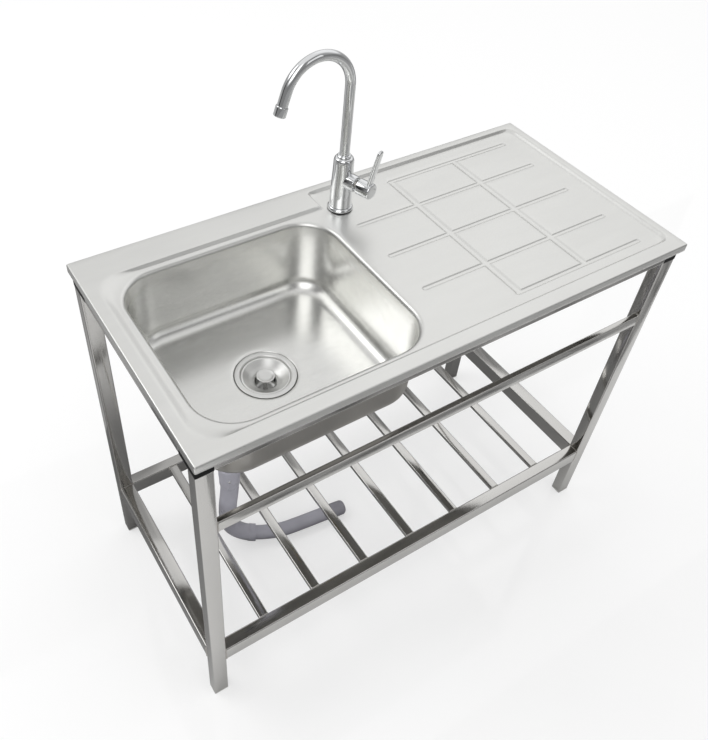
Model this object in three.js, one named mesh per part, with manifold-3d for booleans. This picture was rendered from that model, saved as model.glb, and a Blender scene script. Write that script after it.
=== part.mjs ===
// A free-standing stainless steel kitchen sink unit: a one-piece pressed top with a bowl on the left and
// a grooved drainer on the right, a gooseneck mixer tap, a basket strainer with its grey drain hose, and
// a tube stand with a slatted shelf.
// Millimetres, +X to the right, +Y to the back, +Z up. The origin is on the floor under the top's centre.
import * as THREE from 'three';
import { mergeVertices } from 'three/addons/utils/BufferGeometryUtils.js';
import Module from 'manifold-3d';

const wasm = await Module();
wasm.setup();

// ---------------------------------------------------------------- driving dimensions

// pressed top
const topLength = 1000;
const topDepth = 485;
const rimHeight = 786;
const sheet = 1;
const flangeDepth = 15;
const topCornerRadius = 3;
const rimLeft = 18.5;
const rimRight = 14;
const rimFront = 26.5;
const rimBack = 14.5;
const recessDepth = 6;
const leftSlope = 20;
const rightSlope = 10;
const frontSlope = 7;
const backSlope = 6;
const bowlBackSlope = 8;
const recessCornerLeft = 40;
const recessCornerRight = 20;
const lipLand = 1.5;
const drainerGap = 8;

// bowl
const bowlLength = 400;
const bowlWidth = 361;
const bowlDepth = 150;
const bowlCorner = 70;
const bowlLip = 9;
const bowlFillet = 30;
const bowlDraft = 3;
const drainShift = -10;
const drainSeatDepth = 3;

// drainer grooves
const grooveDepth = 2;
const grooveSide = 3;
const rowWidth = 12;
const columnWidth = 19;
const rowPitch = 99;
const edgeRowPitch = 87;
const columnPitch = 157;
const endTile = 142;
const tileColumns = 3;
const firstRowStart = 38;
const grooveEnd = 48.5;

// stand
const clearance = 0.3;
const legLength = 30;
const legDepth = 25;
const legWall = 1.5;
const legInsetX = 4;
const legInsetY = 10.5;
const railHeight = 33.7;
const tubeRadius = 2.5;
const footThickness = 3;
const footPlugDepth = 22;
const railThickness = 12;
const railWall = 1.2;
const railTopGap = 7.3;
const middleRailHeight = 25;
const middleRailBottom = 586;
const shelfHeight = 170;
const shelfRailHeight = 38;
const slatCount = 7;
const slatWidth = 20;
const slatHeight = 10;
const slatPitch = 120;
const slatShift = -10;
const slatDrop = 1;

// corner connectors
const connectorArm = 27;
const connectorPad = 8;
const legSpigot = 38;
const railSpigot = 28;
const spigotWall = 2.5;

// strainer
const strainerFlangeRadius = 55;
const strainerCupRadius = 45.5;
const strainerWall = 1.2;
const strainerCupDepth = 62;
const strainerLedgeDepth = 8;
const strainerLedgeWidth = 8;
const outletRadius = 20;
const outletLength = 20;
const gasketThickness = 1.5;
const lockNutHeight = 15;
const lockNutWidth = 11;
const lockNutLugs = 6;
const basketDepth = 34;
const basketDish = 11;
const basketThroat = 21;
const basketHoles = 12;
const basketHoleWidth = 4;
const knobRadius = 16.5;
const knobDish = 1.5;
const sealRadius = 17;

// drain hose
const dropRadius = 20;
const hoseRadius = 16.5;
const hoseStraight = 18;
const swingRadius = 165;
const swingSteps = 5;
const dropOffset = 6.5;
const dropY = 73;
const dropLeanX = 6;
const dropLeanY = -4;
const dropSteps = 5;
const runLength = 189;
const runSteps = 14;
const runTurnLength = 75;
const runHeading = -7;
const runSag = 2.2;
const floorGap = 0.5;
const hoseNutWall = 4;
const hoseNutHeight = 26;
const couplingRadius = 23;
const couplingGap = 10;
const couplingLength = 62;
const elbowRadius = 20;
const elbowBore = 16.5;
const elbowBend = 62;
const elbowHeading = -28.5;
const sleeveRadius = 17.5;
const sleeveLength = 34;
const sleeveBore = 13;

// tap
const tapFromBowl = 54;
const tapBackInset = 77.5;
const tapHoleRadius = 17;
const baseRadius = 24.5;
const baseHeight = 6;
const baseSealHeight = 1.5;
const bodyBottomRadius = 21.5;
const bodyTopRadius = 18.5;
const bodyHeight = 101.5;
const shankRadius = 13.7;
const shankBore = 10;
const shankLength = 52;
const shankSocket = 12;
const tapNutHeight = 11;
const tapNutRadius = 22;
const tapWasherRadius = 27;
const tapWasherHeight = 2.5;
const spoutRadius = 9;
const spoutWall = 1.4;
const spoutSocket = 28;
const spoutRise = 247;
const spoutBend = 66;
const spoutSweep = 161;
const spoutTip = 30;
const spoutHeading = 183;
const collarRadius = 13;
const collarHeight = 4;
const aeratorRadius = 10.6;
const aeratorLength = 17;
const aeratorThread = 6;

// mixer handle, on an arm that leaves the tap's body
const armHeight = 65;
const armHeading = -72;
const armRadius = 15;
const armLength = 33;
const cartridgeBore = 12.6;
const cartridgeStart = 12;
const ringLength = 5;
const stemRadius = 8;
const stemNeck = 2.8;
const ballRadius = 5;
const pivotDistance = 44;
const hubGap = 6;
const hubLength = 29;
const hubBore = 13.5;
const leverSeat = 12;
const leverLean = 12;
const leverLength = 74;
const leverRootWidth = 13;
const leverTipWidth = 11;
const leverThickness = 5;
const leverPeg = 4;
const leverPegDepth = 8;
const leverInset = 10;

// ---------------------------------------------------------------- places worked out from the sizes

const left = -topLength / 2;
const right = topLength / 2;
const front = -topDepth / 2;
const back = topDepth / 2;
const deck = rimHeight - recessDepth;
const bowlLeft = left + rimLeft + leftSlope + lipLand + bowlLip;
const bowlRight = bowlLeft + bowlLength;
const bowlFront = front + rimFront + frontSlope + lipLand + bowlLip;
const bowlBack = bowlFront + bowlWidth;
const bowlFloor = deck - bowlDepth;
const drainX = (bowlLeft + bowlRight) / 2 + drainShift;
const drainY = (bowlFront + bowlBack) / 2;
const drainSeat = bowlFloor - drainSeatDepth;
const drainHoleRadius = strainerCupRadius + 2 * clearance;
const legOuterX = right - legInsetX;
const legOuterY = back - legInsetY;
const legInnerX = legOuterX - legLength;
const legInnerY = legOuterY - legDepth;
const railTop = rimHeight - railTopGap;
const legTopHeight = railTop - railHeight;
const tapX = bowlRight + tapFromBowl;
const tapY = back - tapBackInset;
const firstSlat = slatShift - ((slatCount - 1) * slatPitch) / 2;
const cornerSteps = 6;

// strainer heights, measured from the pressed seat in the bowl's floor
const flangeUnder = clearance + gasketThickness + clearance;
const flangeTop = flangeUnder + strainerWall;
const cupLedge = flangeTop - strainerLedgeDepth;
const cupBottom = flangeTop - strainerCupDepth;
const cupLower = strainerCupRadius - strainerLedgeWidth;
const cupLowerInner = cupLower - strainerWall;
const outletBottom = cupBottom - outletLength;
const outletInner = outletRadius - 2;

// drain hose: where it starts, swings aside, meets the elbow and lies on the floor
const hoseTop = drainSeat + outletBottom - 10 * clearance;
const dropX = firstSlat + slatPitch / 2 + dropOffset;
const aside = new THREE.Vector2(dropX + dropLeanX - drainX, dropY + dropLeanY - drainY);
const swingTurn = Math.acos(1 - aside.length() / (2 * swingRadius));
const swingTop = hoseTop - hoseStraight;
const swingBottom = swingTop - 2 * swingRadius * Math.sin(swingTurn);
const elbowLevel = elbowRadius + floorGap;
const elbowTop = elbowLevel + elbowBend;
const sleeveLevel = sleeveRadius + floorGap;

// ---------------------------------------------------------------- solids and their helpers

const degrees = THREE.MathUtils.degToRad;

function toSolid(geometry) {
  const bare = geometry.clone();
  bare.deleteAttribute('normal');
  bare.deleteAttribute('uv');
  const merged = mergeVertices(bare, 1e-4);
  const vertProperties = new Float32Array(merged.attributes.position.array);
  const triVerts = new Uint32Array(merged.index.array);
  return new wasm.Manifold(new wasm.Mesh({ numProp: 3, vertProperties, triVerts }));
}

function toGeometry(solid) {
  const mesh = solid.getMesh();
  const geometry = new THREE.BufferGeometry();
  geometry.setAttribute('position', new THREE.BufferAttribute(new Float32Array(mesh.vertProperties), 3));
  geometry.setIndex(new THREE.BufferAttribute(new Uint32Array(mesh.triVerts), 1));
  const flat = geometry.toNonIndexed();
  flat.computeVertexNormals();
  return flat;
}

function joined(solids) {
  return solids.reduce((sum, solid) => sum.add(solid));
}

function box(x0, x1, y0, y1, z0, z1) {
  const geometry = new THREE.BoxGeometry(x1 - x0, y1 - y0, z1 - z0);
  return geometry.translate((x0 + x1) / 2, (y0 + y1) / 2, (z0 + z1) / 2);
}

// Corner points of a rectangle with round corners, counter-clockwise from the front right one. The four
// radii are given for the front right, back right, back left and front left corners.
function outline(x0, x1, y0, y1, radii, segments) {
  const corners = [[x1, y0, -1, 1, -90], [x1, y1, -1, -1, 0], [x0, y1, 1, -1, 90], [x0, y0, 1, 1, 180]];
  const points = [];
  corners.forEach(([x, y, inX, inY, start], corner) => {
    const radius = radii[corner];
    for (let i = 0; i <= segments; i += 1) {
      const share = segments > 0 ? i / segments : 0.5;
      const angle = degrees(start + 90 * share);
      const centreX = x + inX * radius;
      const centreY = y + inY * radius;
      points.push(new THREE.Vector2(centreX + radius * Math.cos(angle), centreY + radius * Math.sin(angle)));
    }
  });
  return points;
}

// A closed skin through outlines of as many points each, from the lowest to the highest.
function loft(sections) {
  const count = sections[0].points.length;
  const position = [];
  sections.forEach(({ points, z }) => points.forEach((point) => position.push(point.x, point.y, z)));
  const index = [];
  for (let level = 0; level + 1 < sections.length; level += 1) {
    for (let i = 0; i < count; i += 1) {
      const a = level * count + i;
      const b = level * count + ((i + 1) % count);
      index.push(a, b, b + count, a, b + count, a + count);
    }
  }
  const top = (sections.length - 1) * count;
  for (let i = 1; i + 1 < count; i += 1) {
    index.push(0, i + 1, i, top, top + i, top + i + 1);
  }
  const geometry = new THREE.BufferGeometry();
  geometry.setAttribute('position', new THREE.Float32BufferAttribute(position, 3));
  geometry.setIndex(index);
  return geometry;
}

// A profile of [radius, height] turned round the Z axis.
function revolve(profile, segments) {
  const points = profile.map(([radius, height]) => new THREE.Vector2(radius, height));
  return new THREE.LatheGeometry(points, segments).rotateX(Math.PI / 2);
}

// A ring of rectangular section round the Z axis.
function ring(inner, outer, z0, z1, segments) {
  return revolve([[inner, z0], [outer, z0], [outer, z1], [inner, z1], [inner, z0]], segments);
}

function disc(radius, z0, z1, segments) {
  return revolve([[0, z0], [radius, z0], [radius, z1], [0, z1]], segments);
}

function circlePoints(radius, sides) {
  const circle = new THREE.EllipseCurve(0, 0, radius, radius, 0, 2 * Math.PI);
  return circle.getPoints(sides).slice(0, -1);
}

function roundShape(outer, outerSides, inner, innerSides) {
  const shape = new THREE.Shape(circlePoints(outer, outerSides));
  if (inner > 0) {
    shape.holes.push(new THREE.Path(circlePoints(inner, innerSides)));
  }
  return shape;
}

function sweep(shape, path, steps) {
  return new THREE.ExtrudeGeometry(shape, { steps, extrudePath: path, bevelEnabled: false });
}

// A rectangular tube with round corners, open at both ends, that runs along Z from zero.
function squareTube(width, height, wall, length) {
  const section = (inset, radius, segments) => {
    const x = width / 2 - inset;
    const y = height / 2 - inset;
    return outline(-x, x, -y, y, [radius, radius, radius, radius], segments);
  };
  const shape = new THREE.Shape(section(0, tubeRadius, 2));
  shape.holes.push(new THREE.Path(section(wall, 0, 0)));
  return new THREE.ExtrudeGeometry(shape, { depth: length, bevelEnabled: false, steps: 1 });
}

// An arc in the XZ plane that leaves its start upwards and turns towards +X.
class BendCurve extends THREE.Curve {
  constructor(radius, angle, base) {
    super();
    this.radius = radius;
    this.angle = angle;
    this.base = base;
  }

  getPoint(t, target = new THREE.Vector3()) {
    const turned = this.angle * t;
    const reach = this.radius * (1 - Math.cos(turned));
    return target.set(reach, 0, this.base + this.radius * Math.sin(turned));
  }
}

// ---------------------------------------------------------------- materials and placing

const finishes = {
  pressed: { color: 0xc9cac6, roughness: 0.34, metalness: 1 },
  polished: { color: 0xc2c1bc, roughness: 0.16, metalness: 1 },
  chrome: { color: 0xdcdedf, roughness: 0.06, metalness: 1 },
  brass: { color: 0xb8934a, roughness: 0.35, metalness: 1 },
  blackPlastic: { color: 0x161616, roughness: 0.5, metalness: 0 },
  footPlastic: { color: 0xb9b9b5, roughness: 0.6, metalness: 0 },
  greyPlastic: { color: 0x85838c, roughness: 0.45, metalness: 0 },
  darkPlastic: { color: 0x626169, roughness: 0.5, metalness: 0 },
  rubber: { color: 0x1d1d1e, roughness: 0.85, metalness: 0 },
  ceramic: { color: 0xd8d6cf, roughness: 0.5, metalness: 0 },
};

function piece(name, shape, finish) {
  const geometry = shape.isBufferGeometry ? shape : toGeometry(shape);
  const mesh = new THREE.Mesh(geometry, new THREE.MeshStandardMaterial(finishes[finish]));
  mesh.name = name;
  return mesh;
}

function group(...children) {
  const result = new THREE.Group();
  result.add(...children);
  return result;
}

function placed(object, x, y, z) {
  object.position.set(x, y, z);
  return object;
}

// ---------------------------------------------------------------- pressed top

// The recess inside the rim. Grown outwards and downwards by the sheet it is the pressing's underside.
function recess(x0, x1, y0, y1, slopes, radii, growth, top) {
  const topRadii = radii.map((radius) => radius + growth);
  const upper = outline(x0 - growth, x1 + growth, y0 - growth, y1 + growth, topRadii, cornerSteps);
  const lowX0 = x0 + slopes.left - growth;
  const lowX1 = x1 - slopes.right + growth;
  const lowY0 = y0 + slopes.front - growth;
  const lowY1 = y1 - slopes.back + growth;
  const lowRadii = slopes.radii.map((radius) => radius + growth);
  const lower = outline(lowX0, lowX1, lowY0, lowY1, lowRadii, cornerSteps);
  const sections = [{ points: lower, z: deck - growth }, { points: upper, z: rimHeight - growth }];
  if (top > 0) {
    sections.push({ points: upper, z: rimHeight + top });
  }
  return toSolid(loft(sections));
}

function recesses(growth, top) {
  const x1 = right - rimRight;
  const y0 = front + rimFront;
  const sides = { right: rightSlope, front: frontSlope };
  const corner = recessCornerRight;
  const opening = bowlCorner + bowlLip + lipLand;
  const bowlLow = [corner, corner, opening, opening];
  const bowlSlopes = { ...sides, left: leftSlope, back: bowlBackSlope, radii: bowlLow };
  const bowlTop = bowlBack + bowlLip + lipLand + bowlBackSlope;
  const bowlRadii = [corner, corner, recessCornerLeft, recessCornerLeft];
  const aroundBowl = recess(left + rimLeft, x1, y0, bowlTop, bowlSlopes, bowlRadii, growth, top);
  const drainerRadii = [corner, corner, drainerGap, drainerGap];
  const drainerSlopes = { ...sides, left: backSlope, back: backSlope, radii: drainerRadii };
  const drainerLeft = bowlRight + bowlLip + drainerGap;
  const drainer = recess(drainerLeft, x1, y0, back - rimBack, drainerSlopes, drainerRadii, growth, top);
  return aroundBowl.add(drainer);
}

// One level of the bowl: the wall's outline moved outwards by an offset.
function bowlSection(offset, z) {
  const radius = Math.max(bowlCorner + offset, 1);
  const radii = [radius, radius, radius, radius];
  const points = outline(bowlLeft - offset, bowlRight + offset, bowlFront - offset, bowlBack + offset,
    radii, cornerSteps);
  return { points, z };
}

function bowlSolid(growth, top) {
  const sections = [];
  const filletSteps = 5;
  const lipSteps = 3;
  for (let i = filletSteps; i >= 0; i -= 1) {
    const angle = degrees((90 * i) / filletSteps);
    const offset = -bowlDraft - bowlFillet + (bowlFillet + growth) * Math.cos(angle);
    sections.push(bowlSection(offset, bowlFloor + bowlFillet - (bowlFillet + growth) * Math.sin(angle)));
  }
  for (let i = 0; i <= lipSteps; i += 1) {
    const angle = degrees(90 - (90 * i) / lipSteps);
    const offset = bowlLip - (bowlLip - growth) * Math.sin(angle);
    sections.push(bowlSection(offset, deck - bowlLip + (bowlLip - growth) * Math.cos(angle)));
  }
  if (top > 0) {
    sections.push(bowlSection(bowlLip, deck + top));
  }
  return toSolid(loft(sections));
}

function grooveSolid(x0, x1, y0, y1, growth) {
  const radius = Math.min(x1 - x0, y1 - y0) / 2;
  const upperRadius = radius + growth;
  const lowerRadius = radius - grooveSide + growth;
  const shape = (edge, corner) => outline(x0 + edge, x1 - edge, y0 + edge, y1 - edge,
    [corner, corner, corner, corner], 2);
  const upper = shape(-growth, upperRadius);
  const lower = shape(grooveSide - growth, lowerRadius);
  return toSolid(loft([
    { points: lower, z: deck - grooveDepth - growth },
    { points: upper, z: deck - growth },
    { points: upper, z: deck + sheet / 2 - growth },
  ]));
}

function grooves(growth) {
  const middle = (front + rimFront + back - rimBack - backSlope) / 2 - 2;
  const rowEnd = right - rimRight - grooveEnd;
  const rowStart = bowlRight + bowlLip + firstRowStart;
  const lastColumn = rowEnd - endTile;
  const columns = [];
  for (let i = 0; i < tileColumns - 1; i += 1) {
    columns.push(lastColumn - i * columnPitch);
  }
  const outerStart = Math.min(...columns) - columnWidth / 2;
  const reach = rowPitch + edgeRowPitch;
  const rows = [[-reach, outerStart], [-rowPitch, rowStart], [0, rowStart], [rowPitch, rowStart],
    [reach, outerStart]];
  const rowSolids = rows.map(([offset, start]) => {
    const y = middle + offset;
    return grooveSolid(start, rowEnd, y - rowWidth / 2, y + rowWidth / 2, growth);
  });
  const ends = reach + rowWidth / 2;
  const columnSolids = columns.map((x) => grooveSolid(x - columnWidth / 2, x + columnWidth / 2,
    middle - ends, middle + ends, growth));
  return joined([...rowSolids, ...columnSolids]);
}

// The round seat that is pressed into the bowl's floor for the strainer.
function drainSeatSolid(growth, top) {
  const seatRadius = strainerFlangeRadius + 2;
  const profile = [[0, drainSeat - growth], [seatRadius + growth, drainSeat - growth],
    [seatRadius + drainSeatDepth + growth, bowlFloor - growth / 2 + top],
    [0, bowlFloor - growth / 2 + top]];
  return toSolid(revolve(profile, 32).translate(drainX, drainY, 0));
}

function sinkTop() {
  const radii = [topCornerRadius, topCornerRadius, topCornerRadius, topCornerRadius];
  const bottom = rimHeight - flangeDepth;
  const slab = toSolid(loft([
    { points: outline(left, right, front, back, radii, 3), z: bottom },
    { points: outline(left, right, front, back, radii, 3), z: rimHeight },
  ]));
  const underside = toSolid(box(left + sheet, right - sheet, front + sheet, back - sheet,
    bottom - 1, rimHeight - sheet));
  const pressing = joined([slab.subtract(underside), recesses(sheet, 0), grooves(sheet),
    bowlSolid(sheet, 0), drainSeatSolid(sheet, 0)]);
  const air = joined([recesses(0, 1), grooves(0), bowlSolid(0, 1), drainSeatSolid(0, 1)]);
  const drainHole = toSolid(disc(drainHoleRadius, drainSeat - 10, drainSeat + 10, 32)
    .translate(drainX, drainY, 0));
  const tapHole = toSolid(disc(tapHoleRadius, deck - 10, deck + 10, 24).translate(tapX, tapY, 0));
  return piece('sink_top', pressing.subtract(air).subtract(drainHole).subtract(tapHole), 'pressed');
}

// ---------------------------------------------------------------- stand

function eachCorner(make) {
  return [[-1, -1], [1, -1], [-1, 1], [1, 1]].map(([sideX, sideY]) => {
    const depthName = sideY < 0 ? 'front' : 'back';
    const lengthName = sideX < 0 ? 'left' : 'right';
    return make(`${depthName}_${lengthName}`, sideX, sideY);
  });
}

function leg(name, sideX, sideY) {
  const bottom = footThickness + clearance;
  const tube = squareTube(legLength, legDepth, legWall, legTopHeight - clearance - bottom);
  const mesh = piece(`leg_${name}`, tube, 'polished');
  return placed(mesh, sideX * (legOuterX - legLength / 2), sideY * (legOuterY - legDepth / 2), bottom);
}

function tapered(width, depth, z0, z1, taper) {
  const radii = [1, 1, 1, 1];
  const section = (inset, z) => {
    const x = width / 2 - inset;
    const y = depth / 2 - inset;
    return { points: outline(-x, x, -y, y, radii, 1), z };
  };
  return toSolid(loft([section(0, z0), section(0, z1 - taper * 2), section(taper, z1)]));
}

function footPlug(name, sideX, sideY) {
  const shoe = toSolid(loft([
    { points: outline(-legLength / 2, legLength / 2, -legDepth / 2, legDepth / 2, [2, 2, 2, 2], 2), z: 0 },
    { points: outline(-legLength / 2, legLength / 2, -legDepth / 2, legDepth / 2, [2, 2, 2, 2], 2),
      z: footThickness },
  ]));
  const inset = 2 * (legWall + clearance);
  const plugTop = footThickness + footPlugDepth;
  const plug = tapered(legLength - inset, legDepth - inset, footThickness / 2, plugTop, 1.5);
  const core = tapered(legLength - inset - 2 * spigotWall, legDepth - inset - 2 * spigotWall,
    footThickness, plugTop + 1, 0.5);
  const mesh = piece(`foot_plug_${name}`, shoe.add(plug).subtract(core), 'footPlastic');
  return placed(mesh, sideX * (legOuterX - legLength / 2), sideY * (legOuterY - legDepth / 2), 0);
}

// A three-way corner block with hollow spigots that enter the leg and the two top rails.
function cornerConnector(name, sideX, sideY) {
  const boxAt = (x0, x1, y0, y1, z0, z1) => {
    const xs = [sideX * x0, sideX * x1].sort((a, b) => a - b);
    const ys = [sideY * y0, sideY * y1].sort((a, b) => a - b);
    return toSolid(box(xs[0], xs[1], ys[0], ys[1], z0, z1));
  };
  const armInnerY = legInnerY - connectorArm;
  const block = boxAt(legInnerX, legOuterX, legInnerY, legOuterY, legTopHeight, railTop);
  const arm = boxAt(legOuterX - railThickness, legOuterX, armInnerY, legInnerY + 1, legTopHeight, railTop);
  const pad = boxAt(legOuterX - connectorPad, legOuterX, legOuterY - connectorPad, legOuterY,
    legTopHeight, rimHeight - sheet - clearance);
  const hold = legWall + clearance;
  const railHold = railWall + clearance;
  const legPeg = boxAt(legInnerX + hold, legOuterX - hold, legInnerY + hold, legOuterY - hold,
    legTopHeight - legSpigot, legTopHeight + 1);
  const legCore = boxAt(legInnerX + hold + spigotWall, legOuterX - hold - spigotWall,
    legInnerY + hold + spigotWall, legOuterY - hold - spigotWall,
    legTopHeight - legSpigot - 1, legTopHeight + 4);
  const lengthPeg = boxAt(legInnerX - railSpigot, legInnerX + 1, legOuterY - railThickness + railHold,
    legOuterY - railHold, legTopHeight + railHold, railTop - railHold);
  const depthPeg = boxAt(legOuterX - railThickness + railHold, legOuterX - railHold,
    armInnerY - railSpigot, armInnerY + 1, legTopHeight + railHold, railTop - railHold);
  const solid = joined([block, arm, pad, legPeg, lengthPeg, depthPeg]).subtract(legCore);
  return piece(`corner_connector_${name}`, solid, 'blackPlastic');
}

// A tube laid along X or Y, with its box given by its ends and its centre line.
function railAlongX(name, x0, x1, y, z, depth, height, wall) {
  const mesh = piece(name, squareTube(height, depth, wall, x1 - x0), 'polished');
  mesh.rotation.set(0, Math.PI / 2, 0);
  return placed(mesh, x0, y, z);
}

function railAlongY(name, x, y0, y1, z, width, height, wall) {
  const mesh = piece(name, squareTube(width, height, wall, y1 - y0), 'polished');
  mesh.rotation.set(-Math.PI / 2, 0, 0);
  return placed(mesh, x, y0, z);
}

function topRails() {
  const endX = legInnerX - clearance;
  const endY = legInnerY - connectorArm - clearance;
  const y = legOuterY - railThickness / 2;
  const x = legOuterX - railThickness / 2;
  const z = legTopHeight + railHeight / 2;
  return [
    railAlongX('top_rail_front', -endX, endX, -y, z, railThickness, railHeight, railWall),
    railAlongX('top_rail_back', -endX, endX, y, z, railThickness, railHeight, railWall),
    railAlongY('top_rail_left', -x, -endY, endY, z, railThickness, railHeight, railWall),
    railAlongY('top_rail_right', x, -endY, endY, z, railThickness, railHeight, railWall),
  ];
}

function middleRail() {
  const endX = legInnerX - clearance;
  const y = -(legOuterY - railThickness / 2);
  const z = middleRailBottom + middleRailHeight / 2;
  return railAlongX('middle_rail_front', -endX, endX, y, z, railThickness, middleRailHeight, railWall);
}

function shelf() {
  const endX = legInnerX - clearance;
  const endY = legInnerY - clearance;
  const z = shelfHeight - shelfRailHeight / 2;
  const y = legOuterY - legDepth / 2;
  const x = legOuterX - legLength / 2;
  const pieces = [
    railAlongX('shelf_rail_front', -endX, endX, -y, z, legDepth, shelfRailHeight, legWall),
    railAlongX('shelf_rail_back', -endX, endX, y, z, legDepth, shelfRailHeight, legWall),
    railAlongY('shelf_rail_left', -x, -endY, endY, z, legLength, shelfRailHeight, legWall),
    railAlongY('shelf_rail_right', x, -endY, endY, z, legLength, shelfRailHeight, legWall),
  ];
  const slatZ = shelfHeight - slatDrop - slatHeight / 2;
  for (let i = 0; i < slatCount; i += 1) {
    const slatX = firstSlat + i * slatPitch;
    pieces.push(railAlongY(`shelf_slat_${i + 1}`, slatX, -endY, endY, slatZ, slatWidth, slatHeight,
      railWall));
  }
  return pieces;
}

// ---------------------------------------------------------------- strainer, in its own group at the drain

function strainerBody() {
  const upperInner = strainerCupRadius - strainerWall;
  const profile = [
    [outletInner, outletBottom], [outletRadius, outletBottom], [outletRadius, cupBottom],
    [cupLower - 5, cupBottom], [cupLower, cupBottom + 5], [cupLower, cupLedge - strainerWall - 2],
    [strainerCupRadius, cupLedge - strainerWall + 1], [strainerCupRadius, flangeUnder],
    [strainerFlangeRadius, flangeUnder], [strainerFlangeRadius, flangeTop - 0.5],
    [strainerFlangeRadius - 3, flangeTop], [upperInner + 2, flangeTop], [upperInner, flangeTop - 1.5],
    [upperInner, cupLedge], [cupLowerInner, cupLedge - 1], [cupLowerInner, cupBottom + 5.5],
    [cupLowerInner - 4, cupBottom + strainerWall], [outletInner, cupBottom + strainerWall],
    [outletInner, outletBottom],
  ];
  return piece('strainer_body', revolve(profile, 28), 'polished');
}

function lockNut() {
  const inner = (strainerCupRadius + clearance) / Math.cos(Math.PI / 24);
  const outer = inner + lockNutWidth / 2;
  const top = -sheet - 2 * clearance - gasketThickness;
  const bottom = top - lockNutHeight;
  const lugs = [];
  for (let i = 0; i < lockNutLugs; i += 1) {
    const lug = box(outer - 1, inner + lockNutWidth, -4, 4, bottom, top - 3);
    lugs.push(toSolid(lug.rotateZ((i * 2 * Math.PI) / lockNutLugs)));
  }
  const flange = toSolid(ring(inner, inner + lockNutWidth, top - 3, top, 24));
  const barrel = toSolid(ring(inner, outer, bottom, top - 2, 24));
  return piece('strainer_lock_nut', joined([flange, barrel, ...lugs]), 'greyPlastic');
}

// The lift-out basket: a rolled rim, a shallow dish and a deep slotted throat.
function basket() {
  const rim = strainerCupRadius - strainerWall - clearance;
  const seat = cupLedge + clearance;
  const bottom = seat - basketDepth;
  const dish = seat - basketDish + 4;
  const thick = 1;
  const profile = [
    [0, bottom], [basketThroat - 3, bottom], [basketThroat, bottom + 3], [basketThroat, dish - 1],
    [cupLowerInner - 2, seat], [rim, seat], [rim, seat + 4], [rim - 1, seat + 5], [rim - 3, seat + 5],
    [rim - 6, seat + 3], [basketThroat + 2, dish], [basketThroat - thick, dish - 2],
    [basketThroat - thick, bottom + 3 + thick], [basketThroat - 4, bottom + thick], [0, bottom + thick],
  ];
  const cup = toSolid(revolve(profile, 24));
  const slots = [];
  for (let i = 0; i < basketHoles; i += 1) {
    const turn = ((i + 0.5) * 2 * Math.PI) / basketHoles;
    const slot = box(basketThroat - 4, basketThroat + 2, -basketHoleWidth / 2, basketHoleWidth / 2,
      bottom + 6, dish - 4);
    slots.push(toSolid(slot.rotateZ(turn)));
  }
  const postHole = toSolid(disc(2.4, bottom - 5, bottom + 5, 12));
  return piece('strainer_basket', cup.subtract(joined(slots)).subtract(postHole), 'polished');
}

// The knob's dished disc stands on a post that is screwed to the basket's floor.
function basketKnob() {
  const seat = cupLedge + clearance;
  const floorTop = seat - basketDepth + 1 + clearance;
  const top = seat + 5;
  const profile = [
    [0, floorTop], [5, floorTop], [5, floorTop + 2], [3, floorTop + 3], [3, top - 6],
    [knobRadius - 3, top - 3.5], [knobRadius, top - 1.5], [knobRadius - 0.5, top], [knobRadius - 2, top],
    [knobRadius - 6, top - knobDish], [0, top - knobDish],
  ];
  return piece('basket_knob', revolve(profile, 20), 'polished');
}

function basketSeal() {
  const bottom = cupLedge + clearance - basketDepth;
  const top = bottom - clearance;
  const profile = [[0, top - 7], [sealRadius - 5, top - 7], [sealRadius - 2, top - 4],
    [sealRadius, top - 3], [sealRadius, top - 1], [sealRadius - 4, top], [0, top]];
  return piece('basket_seal', revolve(profile, 22), 'rubber');
}

function hoseNut() {
  const inner = outletRadius + clearance;
  const outer = inner + hoseNutWall;
  const top = outletBottom + outletLength - 2 - clearance;
  const bottom = top - hoseNutHeight;
  const neck = dropRadius + 2 * clearance;
  const profile = [[neck, bottom], [outer, bottom], [outer, top], [inner, top], [inner, bottom + 3],
    [neck, bottom + 3], [neck, bottom]];
  return piece('hose_nut', revolve(profile, 20), 'darkPlastic');
}

function strainer() {
  const gasketInner = strainerCupRadius + 1.5;
  const upper = ring(gasketInner, strainerFlangeRadius - 1, clearance, clearance + gasketThickness, 24);
  const under = -sheet - clearance;
  const lower = ring(gasketInner, strainerFlangeRadius - 1, under - gasketThickness, under, 24);
  return placed(group(
    strainerBody(),
    piece('strainer_gasket_upper', upper, 'rubber'),
    piece('strainer_gasket_lower', lower, 'rubber'),
    lockNut(),
    basket(),
    basketKnob(),
    basketSeal(),
    hoseNut(),
  ), drainX, drainY, drainSeat);
}

// ---------------------------------------------------------------- drain hose

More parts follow.
